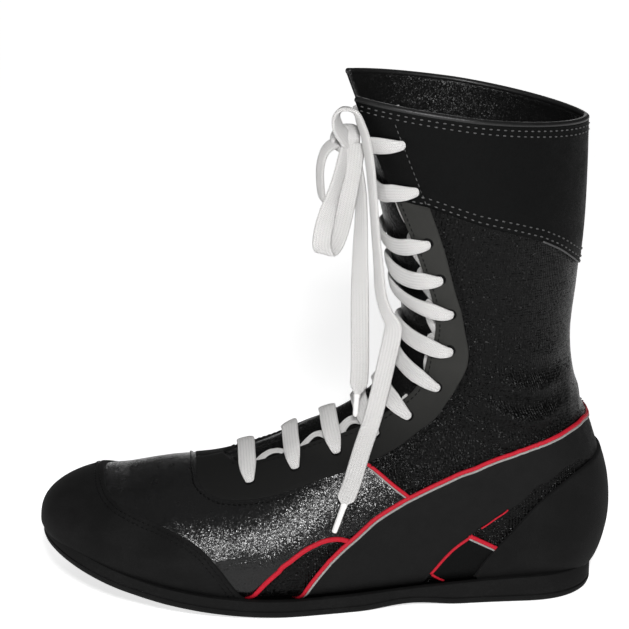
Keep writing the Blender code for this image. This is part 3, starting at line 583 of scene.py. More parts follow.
def add_data(name, data):
    """New object of a mesh, light or camera in the scene."""
    item = bpy.data.objects.new(name, data)
    bpy.context.scene.collection.objects.link(item)
    return item


def mesh_data(name, mesh, *paints):
    """Smooth mesh from a bmesh, with its materials."""
    data = bpy.data.meshes.new(name)
    mesh.to_mesh(data)
    mesh.free()
    for paint in paints:
        data.materials.append(paint)
    data.shade_smooth()
    return data


def add_piece(name, mesh, looks, node=None):
    """New piece from a bmesh, riding on the shoe, with one look or more by name."""
    item = add_data(name, mesh_data(name, mesh, *(LOOKS[look] for look in looks.split())))
    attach(item, "root")
    if node:
        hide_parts(node)
    return item


def sheet_mesh(front, back, joined_rows=0):
    """Closed mesh between two grids, with the first rows closed around, and a UV map of 10 mm a unit."""
    mesh = bmesh.new()
    uv = mesh.loops.layers.uv.new("UVMap")
    rows = len(front)
    columns = len(front[0])
    grids = []
    for grid in (front, back):
        verts = [[mesh.verts.new(point) for point in row] for row in grid]
        for row in verts[:joined_rows]:
            mesh.verts.remove(row[-1])
            row[-1] = row[0]
        grids.append(verts)
    down = lengths([row[columns // 2] for row in front])
    across = lengths(front[rows // 2])
    partner = {}
    for fore, rear in zip(*grids):
        partner.update(zip(fore, rear))
    for number, grid in enumerate(grids):
        for i in range(rows - 1):
            for j in range(columns - 1):
                corners = [(i, j), (i, j + 1), (i + 1, j + 1), (i + 1, j)]
                if number:
                    corners.reverse()
                face = mesh.faces.new([grid[m][n] for m, n in corners])
                face.material_index = number
                for loop, (m, n) in zip(face.loops, corners):
                    loop[uv].uv = (across[n] / UV_UNIT, down[m] / UV_UNIT)
    for edge in [edge for edge in mesh.edges if len(edge.link_faces) == 1 and edge.verts[0] in partner]:
        low, high = edge.verts
        face = mesh.faces.new((low, high, partner[high], partner[low]))
        face.material_index = 1
    bmesh.ops.recalc_face_normals(mesh, faces=mesh.faces)
    return mesh


def skin(rows, rise, under, stop_shares=None, row_shares=None, joined_rows=0):
    """Closed mesh over rows of stops on the form. The lower of a stop's and a row's share scales the rise."""
    front = []
    for row, end in zip(rows, row_shares or [1.0] * len(rows)):
        shares = stop_shares or [1.0] * len(row)
        front.append([on_form(*stop, rise * min(share, end)) for stop, share in zip(row, shares)])
    back = [[on_form(*stop, under) for stop in row] for row in rows]
    return sheet_mesh(front, back, joined_rows)


EDGE_INSETS = (0.0, 0.3, 0.9)
EDGE_RISES = (0.15, 0.8, 1.0)
PANEL_END_RISE = 0.15
PANEL_UNDER = -0.6
PANEL_STEPS = 24
NARROW_PANEL_STEPS = 12


def shares_with_edges(width, steps):
    """Shares of a width in even steps, with closer ones at both rounded edges."""
    insets = [inset / max(width, 4.0 * EDGE_INSETS[-1]) for inset in EDGE_INSETS]
    first = insets[-1]
    middle = [first + (1.0 - 2.0 * first) * (i + 1) / (steps + 1) for i in range(steps)]
    return insets + middle + [1.0 - inset for inset in reversed(insets)]


def rises_with_edges(steps):
    """Shares of a rise at the same stops."""
    return [*EDGE_RISES, *[1.0] * steps, *reversed(EDGE_RISES)]


def low_ends(count, share):
    """Shares of a rise for a number of rows, with a low first and last one."""
    return [share] + [1.0] * (count - 2) + [share]


def panel(name, first, second, rise, look, steps, under=PANEL_UNDER):
    """Thin panel between two lines of the form with the same number of rows, with rounded edges."""
    rows = []
    for one, two in zip(first, second):
        width = (form_point(*one) - form_point(*two)).length / MM
        rows.append([between(one, two, share) for share in shares_with_edges(width, steps)])
    mesh = skin(rows, rise, under, rises_with_edges(steps), low_ends(len(rows), PANEL_END_RISE))
    add_piece(name, mesh, look)


def bridge(mesh, rings):
    """Faces from each ring of points to the next."""
    for low, high in zip(rings, rings[1:]):
        for k, point in enumerate(low):
            after = (k + 1) % len(low)
            mesh.faces.new((point, low[after], high[after], high[k]))


def ring_at(mesh, centre, side, up, radius, count):
    """Ring of points around a centre."""
    turns = [2.0 * math.pi * k / count for k in range(count)]
    return [mesh.verts.new(centre + (side * math.cos(turn) + up * math.sin(turn)) * (radius * MM))
            for turn in turns]


def over_form(stops, rise):
    """Points and normals over stops of the form."""
    return [on_form(*stop, rise) for stop in stops], [form_normal(*stop) for stop in stops]


def outline(width, height, count, power=2.0):
    """Rounded outline of a cross-section, as points across and up."""
    points = []
    for i in range(count):
        turn = 2.0 * math.pi * i / count
        cos, sin = math.cos(turn), math.sin(turn)
        points.append((math.copysign(abs(cos) ** (2.0 / power), cos) * width / 2.0,
                       math.copysign(abs(sin) ** (2.0 / power), sin) * height / 2.0))
    return points


def sweep_mesh(points, normals, sections, shift=0.0, closed=False):
    """Closed mesh along points: each section is a row of (across, up), and the UV map follows it."""
    mesh = bmesh.new()
    uv = mesh.loops.layers.uv.new("UVMap")
    last = len(points) - 1
    along = lengths(points)
    rings = []
    for i, (point, normal, section) in enumerate(zip(points, normals, sections)):
        ahead = points[(i + 1) % (last + 1)] if closed else points[min(i + 1, last)]
        behind = points[i - 1] if closed else points[max(i - 1, 0)]
        tangent = (ahead - behind).normalized()
        side = normal.cross(tangent).normalized()
        up = tangent.cross(side)
        centre = point + side * (shift * MM)
        rings.append([mesh.verts.new(centre + side * (a * MM) + up * (u * MM)) for a, u in section])
    count = len(rings[0])
    pairs = list(zip(range(last), range(1, last + 1)))
    if closed:
        pairs.append((last, 0))
    for low, high in pairs:
        for j in range(count):
            k = (j + 1) % count
            face = mesh.faces.new((rings[low][j], rings[low][k], rings[high][k], rings[high][j]))
            corners = ((low, j), (low, k), (high, k), (high, j))
            for loop, (ring, spot) in zip(face.loops, corners):
                run = along[ring] if not closed or ring >= low else along[-1] + 1.0
                loop[uv].uv = (sections[ring][spot][0] / UV_UNIT, run / UV_UNIT)
    if not closed:
        mesh.faces.new(rings[0])
        mesh.faces.new(rings[-1])
    bmesh.ops.recalc_face_normals(mesh, faces=mesh.faces)
    return mesh


PIPING_STEPS = 10
PIPING_SIDES = 10


def piping(name, rows, width, height, rise, look, shift):
    """Raised cord sewn along a line of the form."""
    points, normals = over_form(smooth_path(rows, PIPING_STEPS), rise)
    sections = [outline(width, height, PIPING_SIDES)] * len(points)
    add_piece("piping_" + name, sweep_mesh(points, normals, sections, shift), look)


def new_material(name, base, roughness, **settings):
    """Principled material, with further sockets set by name and underscores for spaces."""
    made = bpy.data.materials.new(name)
    made.use_nodes = True
    shader = made.node_tree.nodes["Principled BSDF"]
    shader.inputs["Base Color"].default_value = (*base, 1.0)
    shader.inputs["Roughness"].default_value = roughness
    for socket, value in settings.items():
        shader.inputs[socket.replace("_", " ")].default_value = value
    return made


def add_node(made, kind, attributes=None, **inputs):
    """Node with attributes, and inputs given as values or as sockets to link."""
    item = made.node_tree.nodes.new(kind)
    for name, value in (attributes or {}).items():
        setattr(item, name, value)
    for name, value in inputs.items():
        socket = item.inputs[int(name[1:])] if name[0] == "i" and name[1:].isdigit() else item.inputs[name]
        if isinstance(value, bpy.types.NodeSocket):
            made.node_tree.links.new(value, socket)
        else:
            socket.default_value = value
    return item


def calc(made, operation, first, second=0.0):
    """Math node's result."""
    return add_node(made, "ShaderNodeMath", {"operation": operation}, i0=first, i1=second).outputs[0]


def coordinates(made, kind="Object"):
    """Texture coordinates of a piece."""
    return add_node(made, "ShaderNodeTexCoord").outputs[kind]


def noise(made, vector, size, detail=3.0, roughness=0.5):
    """Noise with features of a size in millimetres."""
    item = add_node(made, "ShaderNodeTexNoise", Vector=vector, Scale=1.0 / (size * MM), Detail=detail,
                    Roughness=roughness)
    return item.outputs[0]


def set_input(made, socket, value):
    """Link a value to the shader."""
    made.node_tree.links.new(value, made.node_tree.nodes["Principled BSDF"].inputs[socket])


def cells(made, vector, size, feature):
    """Cells of a size in millimetres."""
    scale = 1.0 / (size * MM)
    return add_node(made, "ShaderNodeTexVoronoi", {"feature": feature}, Vector=vector, Scale=scale)


def spread(made, value, low, high, to_low=0.0, to_high=1.0):
    """Value mapped from one range to another."""
    ranges = {"From Min": low, "From Max": high, "To Min": to_low, "To Max": to_high}
    return add_node(made, "ShaderNodeMapRange", Value=value, **ranges).outputs[0]


def mix_colours(made, share, first, second):
    """Colour between two by a share. The second one may be a socket."""
    if not isinstance(second, bpy.types.NodeSocket):
        second = (*second, 1.0)
    return add_node(made, "ShaderNodeMix", {"data_type": "RGBA"}, Factor=share, i6=(*first, 1.0),
                    i7=second).outputs[2]


def set_bump(made, height, distance, strength=1.0):
    """Bump of a height, with a distance in millimetres."""
    item = add_node(made, "ShaderNodeBump", Height=height, Distance=distance * MM, Strength=strength)
    set_input(made, "Normal", item.outputs[0])


def vector_calc(made, operation, first, second):
    """Vector math node."""
    return add_node(made, "ShaderNodeVectorMath", {"operation": operation}, i0=first, i1=second)


def facets(made, vector, size, slope):
    """Height in millimetres of small flat facets, each tilted its own way."""
    spots = cells(made, vector, size, "F1")
    tilt = vector_calc(made, "SUBTRACT", spots.outputs["Color"], (0.5, 0.5, 0.5))
    away = vector_calc(made, "SUBTRACT", vector, spots.outputs["Position"])
    rise = vector_calc(made, "DOT_PRODUCT", tilt.outputs[0], away.outputs[0])
    return calc(made, "MULTIPLY", rise.outputs["Value"], 2.0 * slope / MM)


def pebbled_leather(name, base, low, high, size, slope, shine):
    """Black leather with a pebbled grain that sparkles in the light, and uneven gloss."""
    made = new_material(name, base, low, Specular_IOR_Level=shine)
    where = coordinates(made)
    patches = noise(made, where, size * 9.0, 3.0)
    set_input(made, "Roughness", spread(made, patches, 0.3, 0.7, low, high))
    pebbles = cells(made, where, size * 1.6, "SMOOTH_F1").outputs["Distance"]
    grain = calc(made, "MULTIPLY", pebbles, -0.25 * slope)
    set_bump(made, calc(made, "ADD", facets(made, where, size, slope), grain), 1.0)
    return made


def suede(name, base, worn, size):
    """Matte napped leather with worn, paler patches."""
    made = new_material(name, base, 0.9, Specular_IOR_Level=0.06, Sheen_Weight=0.015, Sheen_Roughness=0.5)
    where = coordinates(made)
    nap = noise(made, where, size, 5.0, 0.7)
    patches = noise(made, where, 22.0, 4.0, 0.6)
    share = spread(made, calc(made, "MULTIPLY", patches, nap), 0.2, 0.42)
    set_input(made, "Base Color", mix_colours(made, share, base, worn))
    set_bump(made, nap, 0.25, 0.6)
    return made


def paint_shade_below(made, colour, low, high):
    """Painted shade: blend a material's colour to a darker one between two heights in metres, from the upper
    one down.
    """
    source = made.node_tree.nodes["Principled BSDF"].inputs["Base Color"].links[0].from_socket
    heights = add_node(made, "ShaderNodeSeparateXYZ", Vector=coordinates(made))
    share = spread(made, heights.outputs[2], low, high)
    set_input(made, "Base Color", mix_colours(made, share, colour, source))
    return made


def ribbed_cloth(name, base, spacing, slope, shine):
    """Coated cloth with upright ribs and fine rows across them, in facets that catch the light."""
    made = new_material(name, base, 0.3, Specular_IOR_Level=shine)
    where = coordinates(made)
    x, y, z = add_node(made, "ShaderNodeSeparateXYZ", Vector=where).outputs
    turns = 2.0 * math.pi / (spacing * MM)
    wobble = calc(made, "MULTIPLY", noise(made, where, 7.0, 2.0), 4.0)
    around = calc(made, "SUBTRACT", x, calc(made, "ABSOLUTE", y))
    weave = facets(made, where, spacing * 0.5, slope)
    for run, pace, weight in ((around, turns, 0.16), (z, turns * 1.2, 0.07)):
        wave = calc(made, "SINE", calc(made, "ADD", calc(made, "MULTIPLY", run, pace), wobble))
        weave = calc(made, "ADD", weave, calc(made, "MULTIPLY", wave, weight * spacing * slope))
    patches = noise(made, where, 16.0, 3.0)
    set_input(made, "Roughness", spread(made, patches, 0.3, 0.7, 0.2, 0.34))
    set_bump(made, weave, 1.0)
    return made


def woven_lace(name, base, shade):
    """White tubular braid: ribs along the lace with slanted stitches across them, coloured darker in the
    grooves and between the stitches as painted shade.
    """
    made = new_material(name, base, 0.85, Specular_IOR_Level=0.3, Sheen_Weight=0.3, Sheen_Roughness=0.4)
    parts = add_node(made, "ShaderNodeSeparateXYZ", Vector=coordinates(made, "UV"))
    ribs = calc(made, "MULTIPLY", parts.outputs[0], UV_UNIT / 1.5)
    saw = calc(made, "ABSOLUTE", calc(made, "SUBTRACT", calc(made, "FRACT", ribs), 0.5))
    slant = calc(made, "ADD", calc(made, "MULTIPLY", parts.outputs[1], UV_UNIT / 0.85),
                 calc(made, "MULTIPLY", saw, 1.6))
    stitch = calc(made, "SINE", calc(made, "MULTIPLY", slant, 2.0 * math.pi))
    groove = calc(made, "POWER", calc(made, "MULTIPLY", saw, 2.0), 3.0)
    fuzz = noise(made, coordinates(made), 0.5, 3.0)
    height = calc(made, "ADD", calc(made, "MULTIPLY", stitch, 0.75), calc(made, "MULTIPLY", groove, -0.6))
    height = calc(made, "ADD", height, calc(made, "MULTIPLY", fuzz, 0.7))
    # Colour follows the height: painted shade in the grooves and stitch troughs, and random tone from the
    # fuzz.
    set_input(made, "Base Color", mix_colours(made, spread(made, height, -0.7, 0.5), shade, base))
    set_bump(made, height, 0.35, 0.8)
    return made


def rubber(name, base, pale):
    """Black rubber with dust and fine roughness."""
    made = new_material(name, base, 0.75, Specular_IOR_Level=0.06)
    where = coordinates(made)
    dust = noise(made, where, 14.0, 5.0, 0.65)
    grit = noise(made, where, 0.7, 3.0)
    share = spread(made, calc(made, "MULTIPLY", dust, grit), 0.22, 0.42)
    set_input(made, "Base Color", mix_colours(made, share, base, pale))
    set_input(made, "Roughness", spread(made, dust, 0.3, 0.7, 0.65, 0.85))
    set_bump(made, grit, 0.12, 0.6)
    return made


def dyed_cord(name, base, deep):
    """Coloured piping or thread with a fine cloth surface."""
    made = new_material(name, base, 0.5, Specular_IOR_Level=0.1)
    fine = noise(made, coordinates(made), 0.6, 3.0)
    set_input(made, "Base Color", mix_colours(made, spread(made, fine, 0.3, 0.7), deep, base))
    set_bump(made, fine, 0.12, 0.6)
    return made


def smooth_plastic(name, base):
    """Clear-coated plastic of the lace tips, with fine wear."""
    made = new_material(name, base, 0.3, Coat_Weight=0.4)
    wear = noise(made, coordinates(made), 2.0, 3.0)
    set_input(made, "Roughness", spread(made, wear, 0.3, 0.7, 0.25, 0.45))
    set_bump(made, wear, 0.05, 0.4)
    return made


def neutral(value):
    """Colour without a hue."""
    return (value, value, value)


LOOKS = {
    "vamp": pebbled_leather("vamp_leather", (0.0016, 0.0016, 0.0017), 0.22, 0.28, 0.50, 0.14, 0.34),
    "collar": pebbled_leather("collar_leather", (0.0031, 0.0032, 0.0032), 0.45, 0.60, 0.8, 0.10, 0.045),
    "rim": pebbled_leather("rim_leather", neutral(0.005), 0.36, 0.46, 0.8, 0.03, 0.35),
    "lining": pebbled_leather("lining_leather", neutral(0.004), 0.30, 0.42, 0.48, 0.26, 0.20),
    "side": pebbled_leather("side_leather", neutral(0.0065), 0.62, 0.76, 0.6, 0.12, 0.08),
    # The facing's colour darkens from 125 mm down to 75 mm: painted shade, not a dye.
    "facing": paint_shade_below(suede("facing_suede", (0.026, 0.026, 0.0245), (0.034, 0.034, 0.032), 0.5),
                          (0.009, 0.009, 0.0088), 0.075, 0.125),
    "cap": suede("cap_suede", neutral(0.0055), neutral(0.010), 0.6),
    "counter": suede("counter_suede", neutral(0.0055), neutral(0.009), 0.6),
    "cloth": ribbed_cloth("shaft_cloth", neutral(0.0016), 1.6, 0.38, 0.10),
    "tongue": ribbed_cloth("tongue_cloth_look", neutral(0.004), 1.2, 0.25, 0.06),
    "insole": ribbed_cloth("insole_cloth_look", neutral(0.006), 1.2, 0.25, 0.08),
    "rubber": rubber("sole_rubber_look", neutral(0.0055), neutral(0.010)),
    "red": dyed_cord("red_piping", (0.44, 0.012, 0.026), (0.30, 0.007, 0.016)),
    "grey": dyed_cord("grey_piping", (0.30, 0.295, 0.29), (0.18, 0.175, 0.17)),
    "dim_grey": dyed_cord("dim_grey_piping", neutral(0.075), neutral(0.05)),
    "dark_thread": dyed_cord("dark_thread", neutral(0.0025), neutral(0.0015)),
    "grey_thread": dyed_cord("grey_thread", neutral(0.10), neutral(0.06)),
    # The lace's second colour is painted shade for the grooves of the braid.
    "lace": woven_lace("lace_braid", (0.77, 0.76, 0.75), (0.40, 0.392, 0.386)),
    "tip": smooth_plastic("tip_plastic", (0.74, 0.73, 0.72)),
}


# Leather, cloth and rubber over the form
TOE_END = -0.97
SHELL_COLUMNS = 160
SHELL_TOE_ROWS = 20
# Start, step and number of the shell's other rows, which are closest at the front end of the throat
SHELL_ROWS = ((0.0, 0.1, 20), (2.0, 0.04, 20), (2.8, 0.1, 143))
VAMP_START = -0.35
VAMP_RISE = 0.5
VAMP_ROWS = 120
VAMP_STEPS = 90
VAMP_TURN = 156.0


def make_shell():
    """Upper as one wall, open at the collar and the throat, lined inside."""
    places = [TOE_END - TOE_END * i / SHELL_TOE_ROWS for i in range(SHELL_TOE_ROWS)]
    for start, step, count in SHELL_ROWS:
        places += [start + i * step for i in range(count)]
    shares = [j / SHELL_COLUMNS for j in range(SHELL_COLUMNS + 1)]
    rows = [[(place, angle) for angle in around_throat(place, shares)] for place in places]
    joined = sum(place < THROAT_END for place in places)
    mesh = skin(rows, 0.0, -WALL, joined_rows=joined)
    add_piece("upper_shell", mesh, "cloth lining", "upper")


def make_vamp():
    """Pebbled leather from under the toe cap back to the side seams."""
    rows = []
    for i in range(VAMP_ROWS + 1):
        angle = -VAMP_TURN + 2.0 * VAMP_TURN * i / VAMP_ROWS
        end = float(np.interp(abs(angle), VAMP_BACK_ANGLES, VAMP_BACK_PLACES))
        run = end - VAMP_START
        rows.append([(VAMP_START + run * j / VAMP_STEPS, angle) for j in range(VAMP_STEPS + 1)])
    shares = [1.0] * (VAMP_STEPS - 1) + [0.8, 0.2]
    add_piece("vamp_panel", skin(rows, VAMP_RISE, PANEL_UNDER, shares), "vamp")


SIDE_PANEL_ROWS = 110
SIDE_PANEL_RISE = 0.45
INSET_RISE = 0.35
INSET_STEPS = 6


def make_side_panels():
    """Smooth panels under the piping and the small inset panels by the counter."""
    for side, turn, _ in SIDES:
        top, foot = (even_rows(turn(line), SIDE_PANEL_ROWS) for line in (MAIN_PIPING, SIDE_PANEL_FOOT))
        panel("side_panel_" + side, top, foot, SIDE_PANEL_RISE, "side", PANEL_STEPS)
        top, foot = (smooth_path(turn(line), INSET_STEPS) for line in (WINDOW, WINDOW_FOOT))
        panel("inset_panel_" + side, top, foot, INSET_RISE, "collar", NARROW_PANEL_STEPS)


FACING_RISE = 0.9
FACING_UNDER = -1.0
FACING_STEPS = 8
FACING_SEWN_FROM = 20
FACING_SEWN_IN = 2.6
FACING_STITCH_RISE = 1.0


def make_facings():
    """Strips along the throat that carry the eyelets, meeting in front of it, with their front stitches."""
    kind = namedtuple("ThroatStop", "place")
    stops = smooth_path([kind(place) for place in FACING_THROAT_PLACES], FACING_STEPS)
    for side, turn, sign in SIDES:
        edge = [LineRow(stop.place, throat_edge(stop.place, sign)) for stop in stops]
        rear = smooth_path(turn(FACING_EDGE), FACING_STEPS)
        panel("facing_" + side, edge, rear, FACING_RISE, "facing", NARROW_PANEL_STEPS,
              FACING_UNDER)
        mesh = bmesh.new()
        sew(mesh, edge[FACING_SEWN_FROM:], FACING_STITCH_RISE, FINE_THREAD, FACING_SEWN_IN * sign)
        add_piece("facing_stitches_" + side, mesh, "dark_thread")


COLLAR_ROWS = 40
COLLAR_COLUMNS = 150
COLLAR_RISES = [0.12, 0.55] + [0.75] * (COLLAR_ROWS - 1)
COLLAR_UNDER = -0.8
COLLAR_ROLL = (3.0, 3.4, 14)
COLLAR_ROLL_RISE = -0.7


def seam_place(angle):
    """Place of the collar seam at an angle."""
    turns = [-row.angle for row in COLLAR_SEAM]
    return float(np.interp(turn_from_ridge(angle), turns, [row.place for row in COLLAR_SEAM]))


def make_collar():
    """Leather band at the top of the shaft, with a rolled rim."""
    shares = [j / COLLAR_COLUMNS for j in range(COLLAR_COLUMNS + 1)]
    rows = []
    for i in range(COLLAR_ROWS + 1):
        row = []
        for share in shares:
            place = COLLAR
            for _ in range(3):
                angle = around_throat(place, [share])[0]
                seam = seam_place(angle)
                place = seam + (COLLAR - seam) * (i / COLLAR_ROWS)
            row.append((place, angle))
        rows.append(row)
    mesh = skin(rows, 1.0, COLLAR_UNDER, row_shares=COLLAR_RISES)
    add_piece("collar_band", mesh, "collar")
    stops = [(COLLAR, angle) for angle in around_throat(COLLAR, shares)]
    points, normals = over_form(stops, COLLAR_ROLL_RISE)
    mesh = sweep_mesh(points, normals, [outline(*COLLAR_ROLL)] * len(points))
    add_piece("collar_roll", mesh, "rim")


CAP_RISE = 1.8
CAP_UNDER = -0.3
CAP_TURN = 158.0
CAP_ROWS = 140
CAP_SHARES = [i / 70.0 for i in range(69)] + [0.984, 0.991, 0.996, 1.0]
CAP_RISES = [1.0] * 70 + [0.94, 0.72, 0.1 / CAP_RISE]
CAP_LAST_PLACE = 3.0


def in_toe_cap(place, angle):
    """Whether a point of the form is in front of the toe cap's edge in side view."""
    point = form_point(place, angle)
    return along_of(point) > through_rows(TOE_CAP_EDGE, "height", "along", point.z / MM)


def toe_cap_edge(angle):
    """Place of the toe cap's edge at an angle."""
    return halve(TOE_END, CAP_LAST_PLACE, lambda place: in_toe_cap(place, angle))


def make_toe_cap():
    """Suede cap over the toe."""
    rows = []
    for i in range(CAP_ROWS + 1):
        angle = -CAP_TURN + 2.0 * CAP_TURN * i / CAP_ROWS
        edge = toe_cap_edge(angle)
        rows.append([(TOE_END + (edge - TOE_END) * share, angle) for share in CAP_SHARES])
    add_piece("toe_cap_suede", skin(rows, CAP_RISE, CAP_UNDER, CAP_RISES), "cap", "toe_cap")


HEEL_MIDDLE = 40.0
HEEL_REACH = 134.0
HEEL_COLUMNS = 121
HEEL_STEPS = 44
HEEL_FIRST_STOP = (6.1, -136.0)
HEEL_TRIES = 14
HEEL_MISS = 0.005
PLACE_STEP = 0.01
ANGLE_STEP = 0.2
MOST_PLACE_CHANGE = 0.4
MOST_ANGLE_CHANGE = 12.0
COUNTER_WIDTH = 70.0
COUNTER_TUCK = 3.0
COUNTER_LEAST = 0.3
COUNTER_END_RISE = 0.1
COUNTER_HALVINGS = 16


def heel_turn(point):
    """Turn of a point round the middle of the heel in plan, in degrees from straight back."""
    middle = (SHOE_LENGTH / 2.0 - HEEL_MIDDLE) * MM
    return math.degrees(math.atan2(point.y, point.x - middle))


def heel_stop(turn, height, guess):
    """Place and angle of the form's point at a height and a turn round the heel, found from a guess."""
    place, angle = guess
    for _ in range(HEEL_TRIES):
        point = form_point(place, angle)
        miss = np.array((turn - heel_turn(point), height - point.z / MM))
        if np.abs(miss).max() < HEEL_MISS:
            break
        slopes = []
        for other, step in ((form_point(place + PLACE_STEP, angle), PLACE_STEP),
                            (form_point(place, angle + ANGLE_STEP), ANGLE_STEP)):
            slopes.append(((heel_turn(other) - heel_turn(point)) / step, (other.z - point.z) / MM / step))
        change = np.linalg.solve(np.array(slopes).T, miss)
        place += float(np.clip(change[0], -MOST_PLACE_CHANGE, MOST_PLACE_CHANGE))
        angle += float(np.clip(change[1], -MOST_ANGLE_CHANGE, MOST_ANGLE_CHANGE))
    return place, angle


def heel_along(stop):
    """Distance of a stop of the form from the back of the shoe."""
    return along_of(form_point(*stop))


def counter_heights(turn, guess):
    """Lowest and highest point of the counter at a turn round the heel, and the lowest's place and angle."""
    low = rim(HEEL_MIDDLE) - COUNTER_TUCK
    for _ in range(3):
        guess = heel_stop(turn, low, guess)
        low = rim(heel_along(guess)) - COUNTER_TUCK
    stop = guess
    below, above = low, HEEL_COUNTER_EDGE[-1].height + 2.0
    for _ in range(COUNTER_HALVINGS):
        middle = (below + above) / 2.0
        stop = heel_stop(turn, middle, stop)
        if heel_along(stop) < through_rows(HEEL_COUNTER_EDGE, "height", "along", middle):
            below = middle
        else:
            above = middle
    return low, max(below, low + COUNTER_LEAST), guess


def make_heel_counter():
    """Suede counter round the heel, in columns from the sole's wall up to its edge."""
    shares = shares_with_edges(COUNTER_WIDTH, HEEL_STEPS)
    first = HEEL_FIRST_STOP
    rows = []
    for i in range(HEEL_COLUMNS):
        turn = HEEL_REACH * (2.0 * i / (HEEL_COLUMNS - 1) - 1.0)
        low, high, first = counter_heights(turn, first)
        row = [first]
        for share in shares:
            row.append(heel_stop(turn, low + (high - low) * share, row[-1]))
        rows.append(row[1:])
    ends = low_ends(HEEL_COLUMNS, COUNTER_END_RISE)
    mesh = skin(rows, CAP_RISE, CAP_UNDER, rises_with_edges(HEEL_STEPS), ends)
    add_piece("heel_counter_suede", mesh, "counter", "heel_counter")


def plan_edges(share, inset):
    """Along, outer and inner of the sole's plan at a share of its length, drawn in by an inset."""
    back = SOLE_BACK + inset
    tip = SOLE_TIP - inset
    along = back + (tip - back) * (1.0 - math.cos(math.pi * share)) / 2.0
    outer = through_rows(SOLE_PLAN, "along", "outer", along) - inset
    inner = through_rows(SOLE_PLAN, "along", "inner", along) - inset
    from_back = (along - back) / HEEL_ROUND_LENGTH
    from_tip = (along - TOE_ROUND_START) / (tip - TOE_ROUND_START)
    centre = 0.0
    left = 1.0
    if from_back < 1.0:
        left = max(1.0 - (1.0 - from_back) ** HEEL_ROUND, 0.0) ** (1.0 / HEEL_ROUND)
    if from_tip > 0.0:
        centre = TOE_TIP_Y
        left = max(1.0 - min(from_tip, 1.0) ** TOE_ROUND, 0.0) ** (1.0 / TOE_ROUND)
    return along, centre - (outer + centre) * left, centre + (inner - centre) * left


SoleLevel = namedtuple("SoleLevel", "inset base rise")
SOLE_LEVELS = rows_of(
    SoleLevel,
    (LOWER_EDGE, ground, 0.0), (1.3, ground, 0.3), (0.5, ground, 1.1), (0.0, ground, 2.4), (0.0, ground, 3.6),
    (0.5, ground, 3.9), (0.5, ground, 4.3), (0.0, ground, 4.6), (0.0, rim, -1.0), (0.3, rim, -0.3),
    (1.0, rim, 0.0), (3.0, rim, 0.0), (4.0, footbed, 0.0),
)
SOLE_STEPS = 150
SOLE_SHARP_ANGLE = 40.0


def make_sole():
    """Rubber cup sole with a rounded foot, a fine line around it and a rolled top edge."""
    mesh = bmesh.new()
    rings = []
    for level in SOLE_LEVELS:
        edges = [plan_edges(i / SOLE_STEPS, level.inset) for i in range(SOLE_STEPS + 1)]
        spots = [(along, outer) for along, outer, _ in edges]
        spots += [(along, inner) for along, _, inner in reversed(edges[1:-1])]
        points = [place_point(along, y, level.base(along) + level.rise) for along, y in spots]
        rings.append([mesh.verts.new(point) for point in points])
    bridge(mesh, rings)
    for ring in (rings[0], rings[-1]):
        mesh.faces.new((ring[0], ring[1], ring[-1]))
        for i in range(2, SOLE_STEPS):
            mesh.faces.new((ring[i - 1], ring[i], ring[-i], ring[1 - i]))
        mesh.faces.new(ring[SOLE_STEPS - 1:SOLE_STEPS + 2])
    bmesh.ops.recalc_face_normals(mesh, faces=mesh.faces)
    sole = add_piece("rubber_sole", mesh, "rubber", "outsole")
    sole.data.set_sharp_from_angle(angle=math.radians(SOLE_SHARP_ANGLE))


def slack(place):
    """Share of the throat's depth by which lace and tongue fall back."""
    return through_rows(SLACK, "place", "share", place)


def throat_chord(place):
    """Section with the y and height of both throat edges."""
    section = section_at(place)
    outer, inner = throat_edges(place)
    outer_height, outer_y = section_local(section, -outer)
    inner_height, inner_y = section_local(section, inner)
    return section, outer_y, outer_height, inner_y, inner_height


def tongue_section(place):
    """Section of the form with its front drawn back, flatter in front and narrower."""
    section, outer_y, outer_height, inner_y, inner_height = throat_chord(place)
    depth = 0.0
    if inner_y - outer_y > 1.0:
        share = (section.ridge - outer_y) / (inner_y - outer_y)
        chord = outer_height * (1.0 - share) + inner_height * share
        depth = section_local(section, 0.0)[0] - chord
    drawn_back = max(depth * slack(place) - TONGUE_BEHIND_LACE, 0.0)
    top, base = top_and_base(section)
    length = (top - base).length
    moved = top - (top - base) * (drawn_back / length)
    share = min(drawn_back / TONGUE_FLAT_FROM, 1.0)
    return section._replace(
        top_along=moved.x, top_z=moved.y,
        widest=section.widest * length / (length - drawn_back),
        top_round=section.top_round + TONGUE_FLATTER * share,
        outer=section.outer * (1.0 - TONGUE_NARROWER * share),
        inner=section.inner * (1.0 - TONGUE_NARROWER * share))


def tongue_point(place, angle):
    """Point of the tongue's own surface."""
    return section_point(tongue_section(place), angle)


TONGUE_ROWS = 90
TONGUE_COLUMNS = 30
TONGUE_TOP_ROWS = 6.0
TONGUE_TOP_THINNER = 0.8
# Depth under the tongue's surface at its side edges, and how far the padding swells from there
TONGUE_FRONT = (3.9, 3.5)
TONGUE_BACK = (4.2, 0.9)


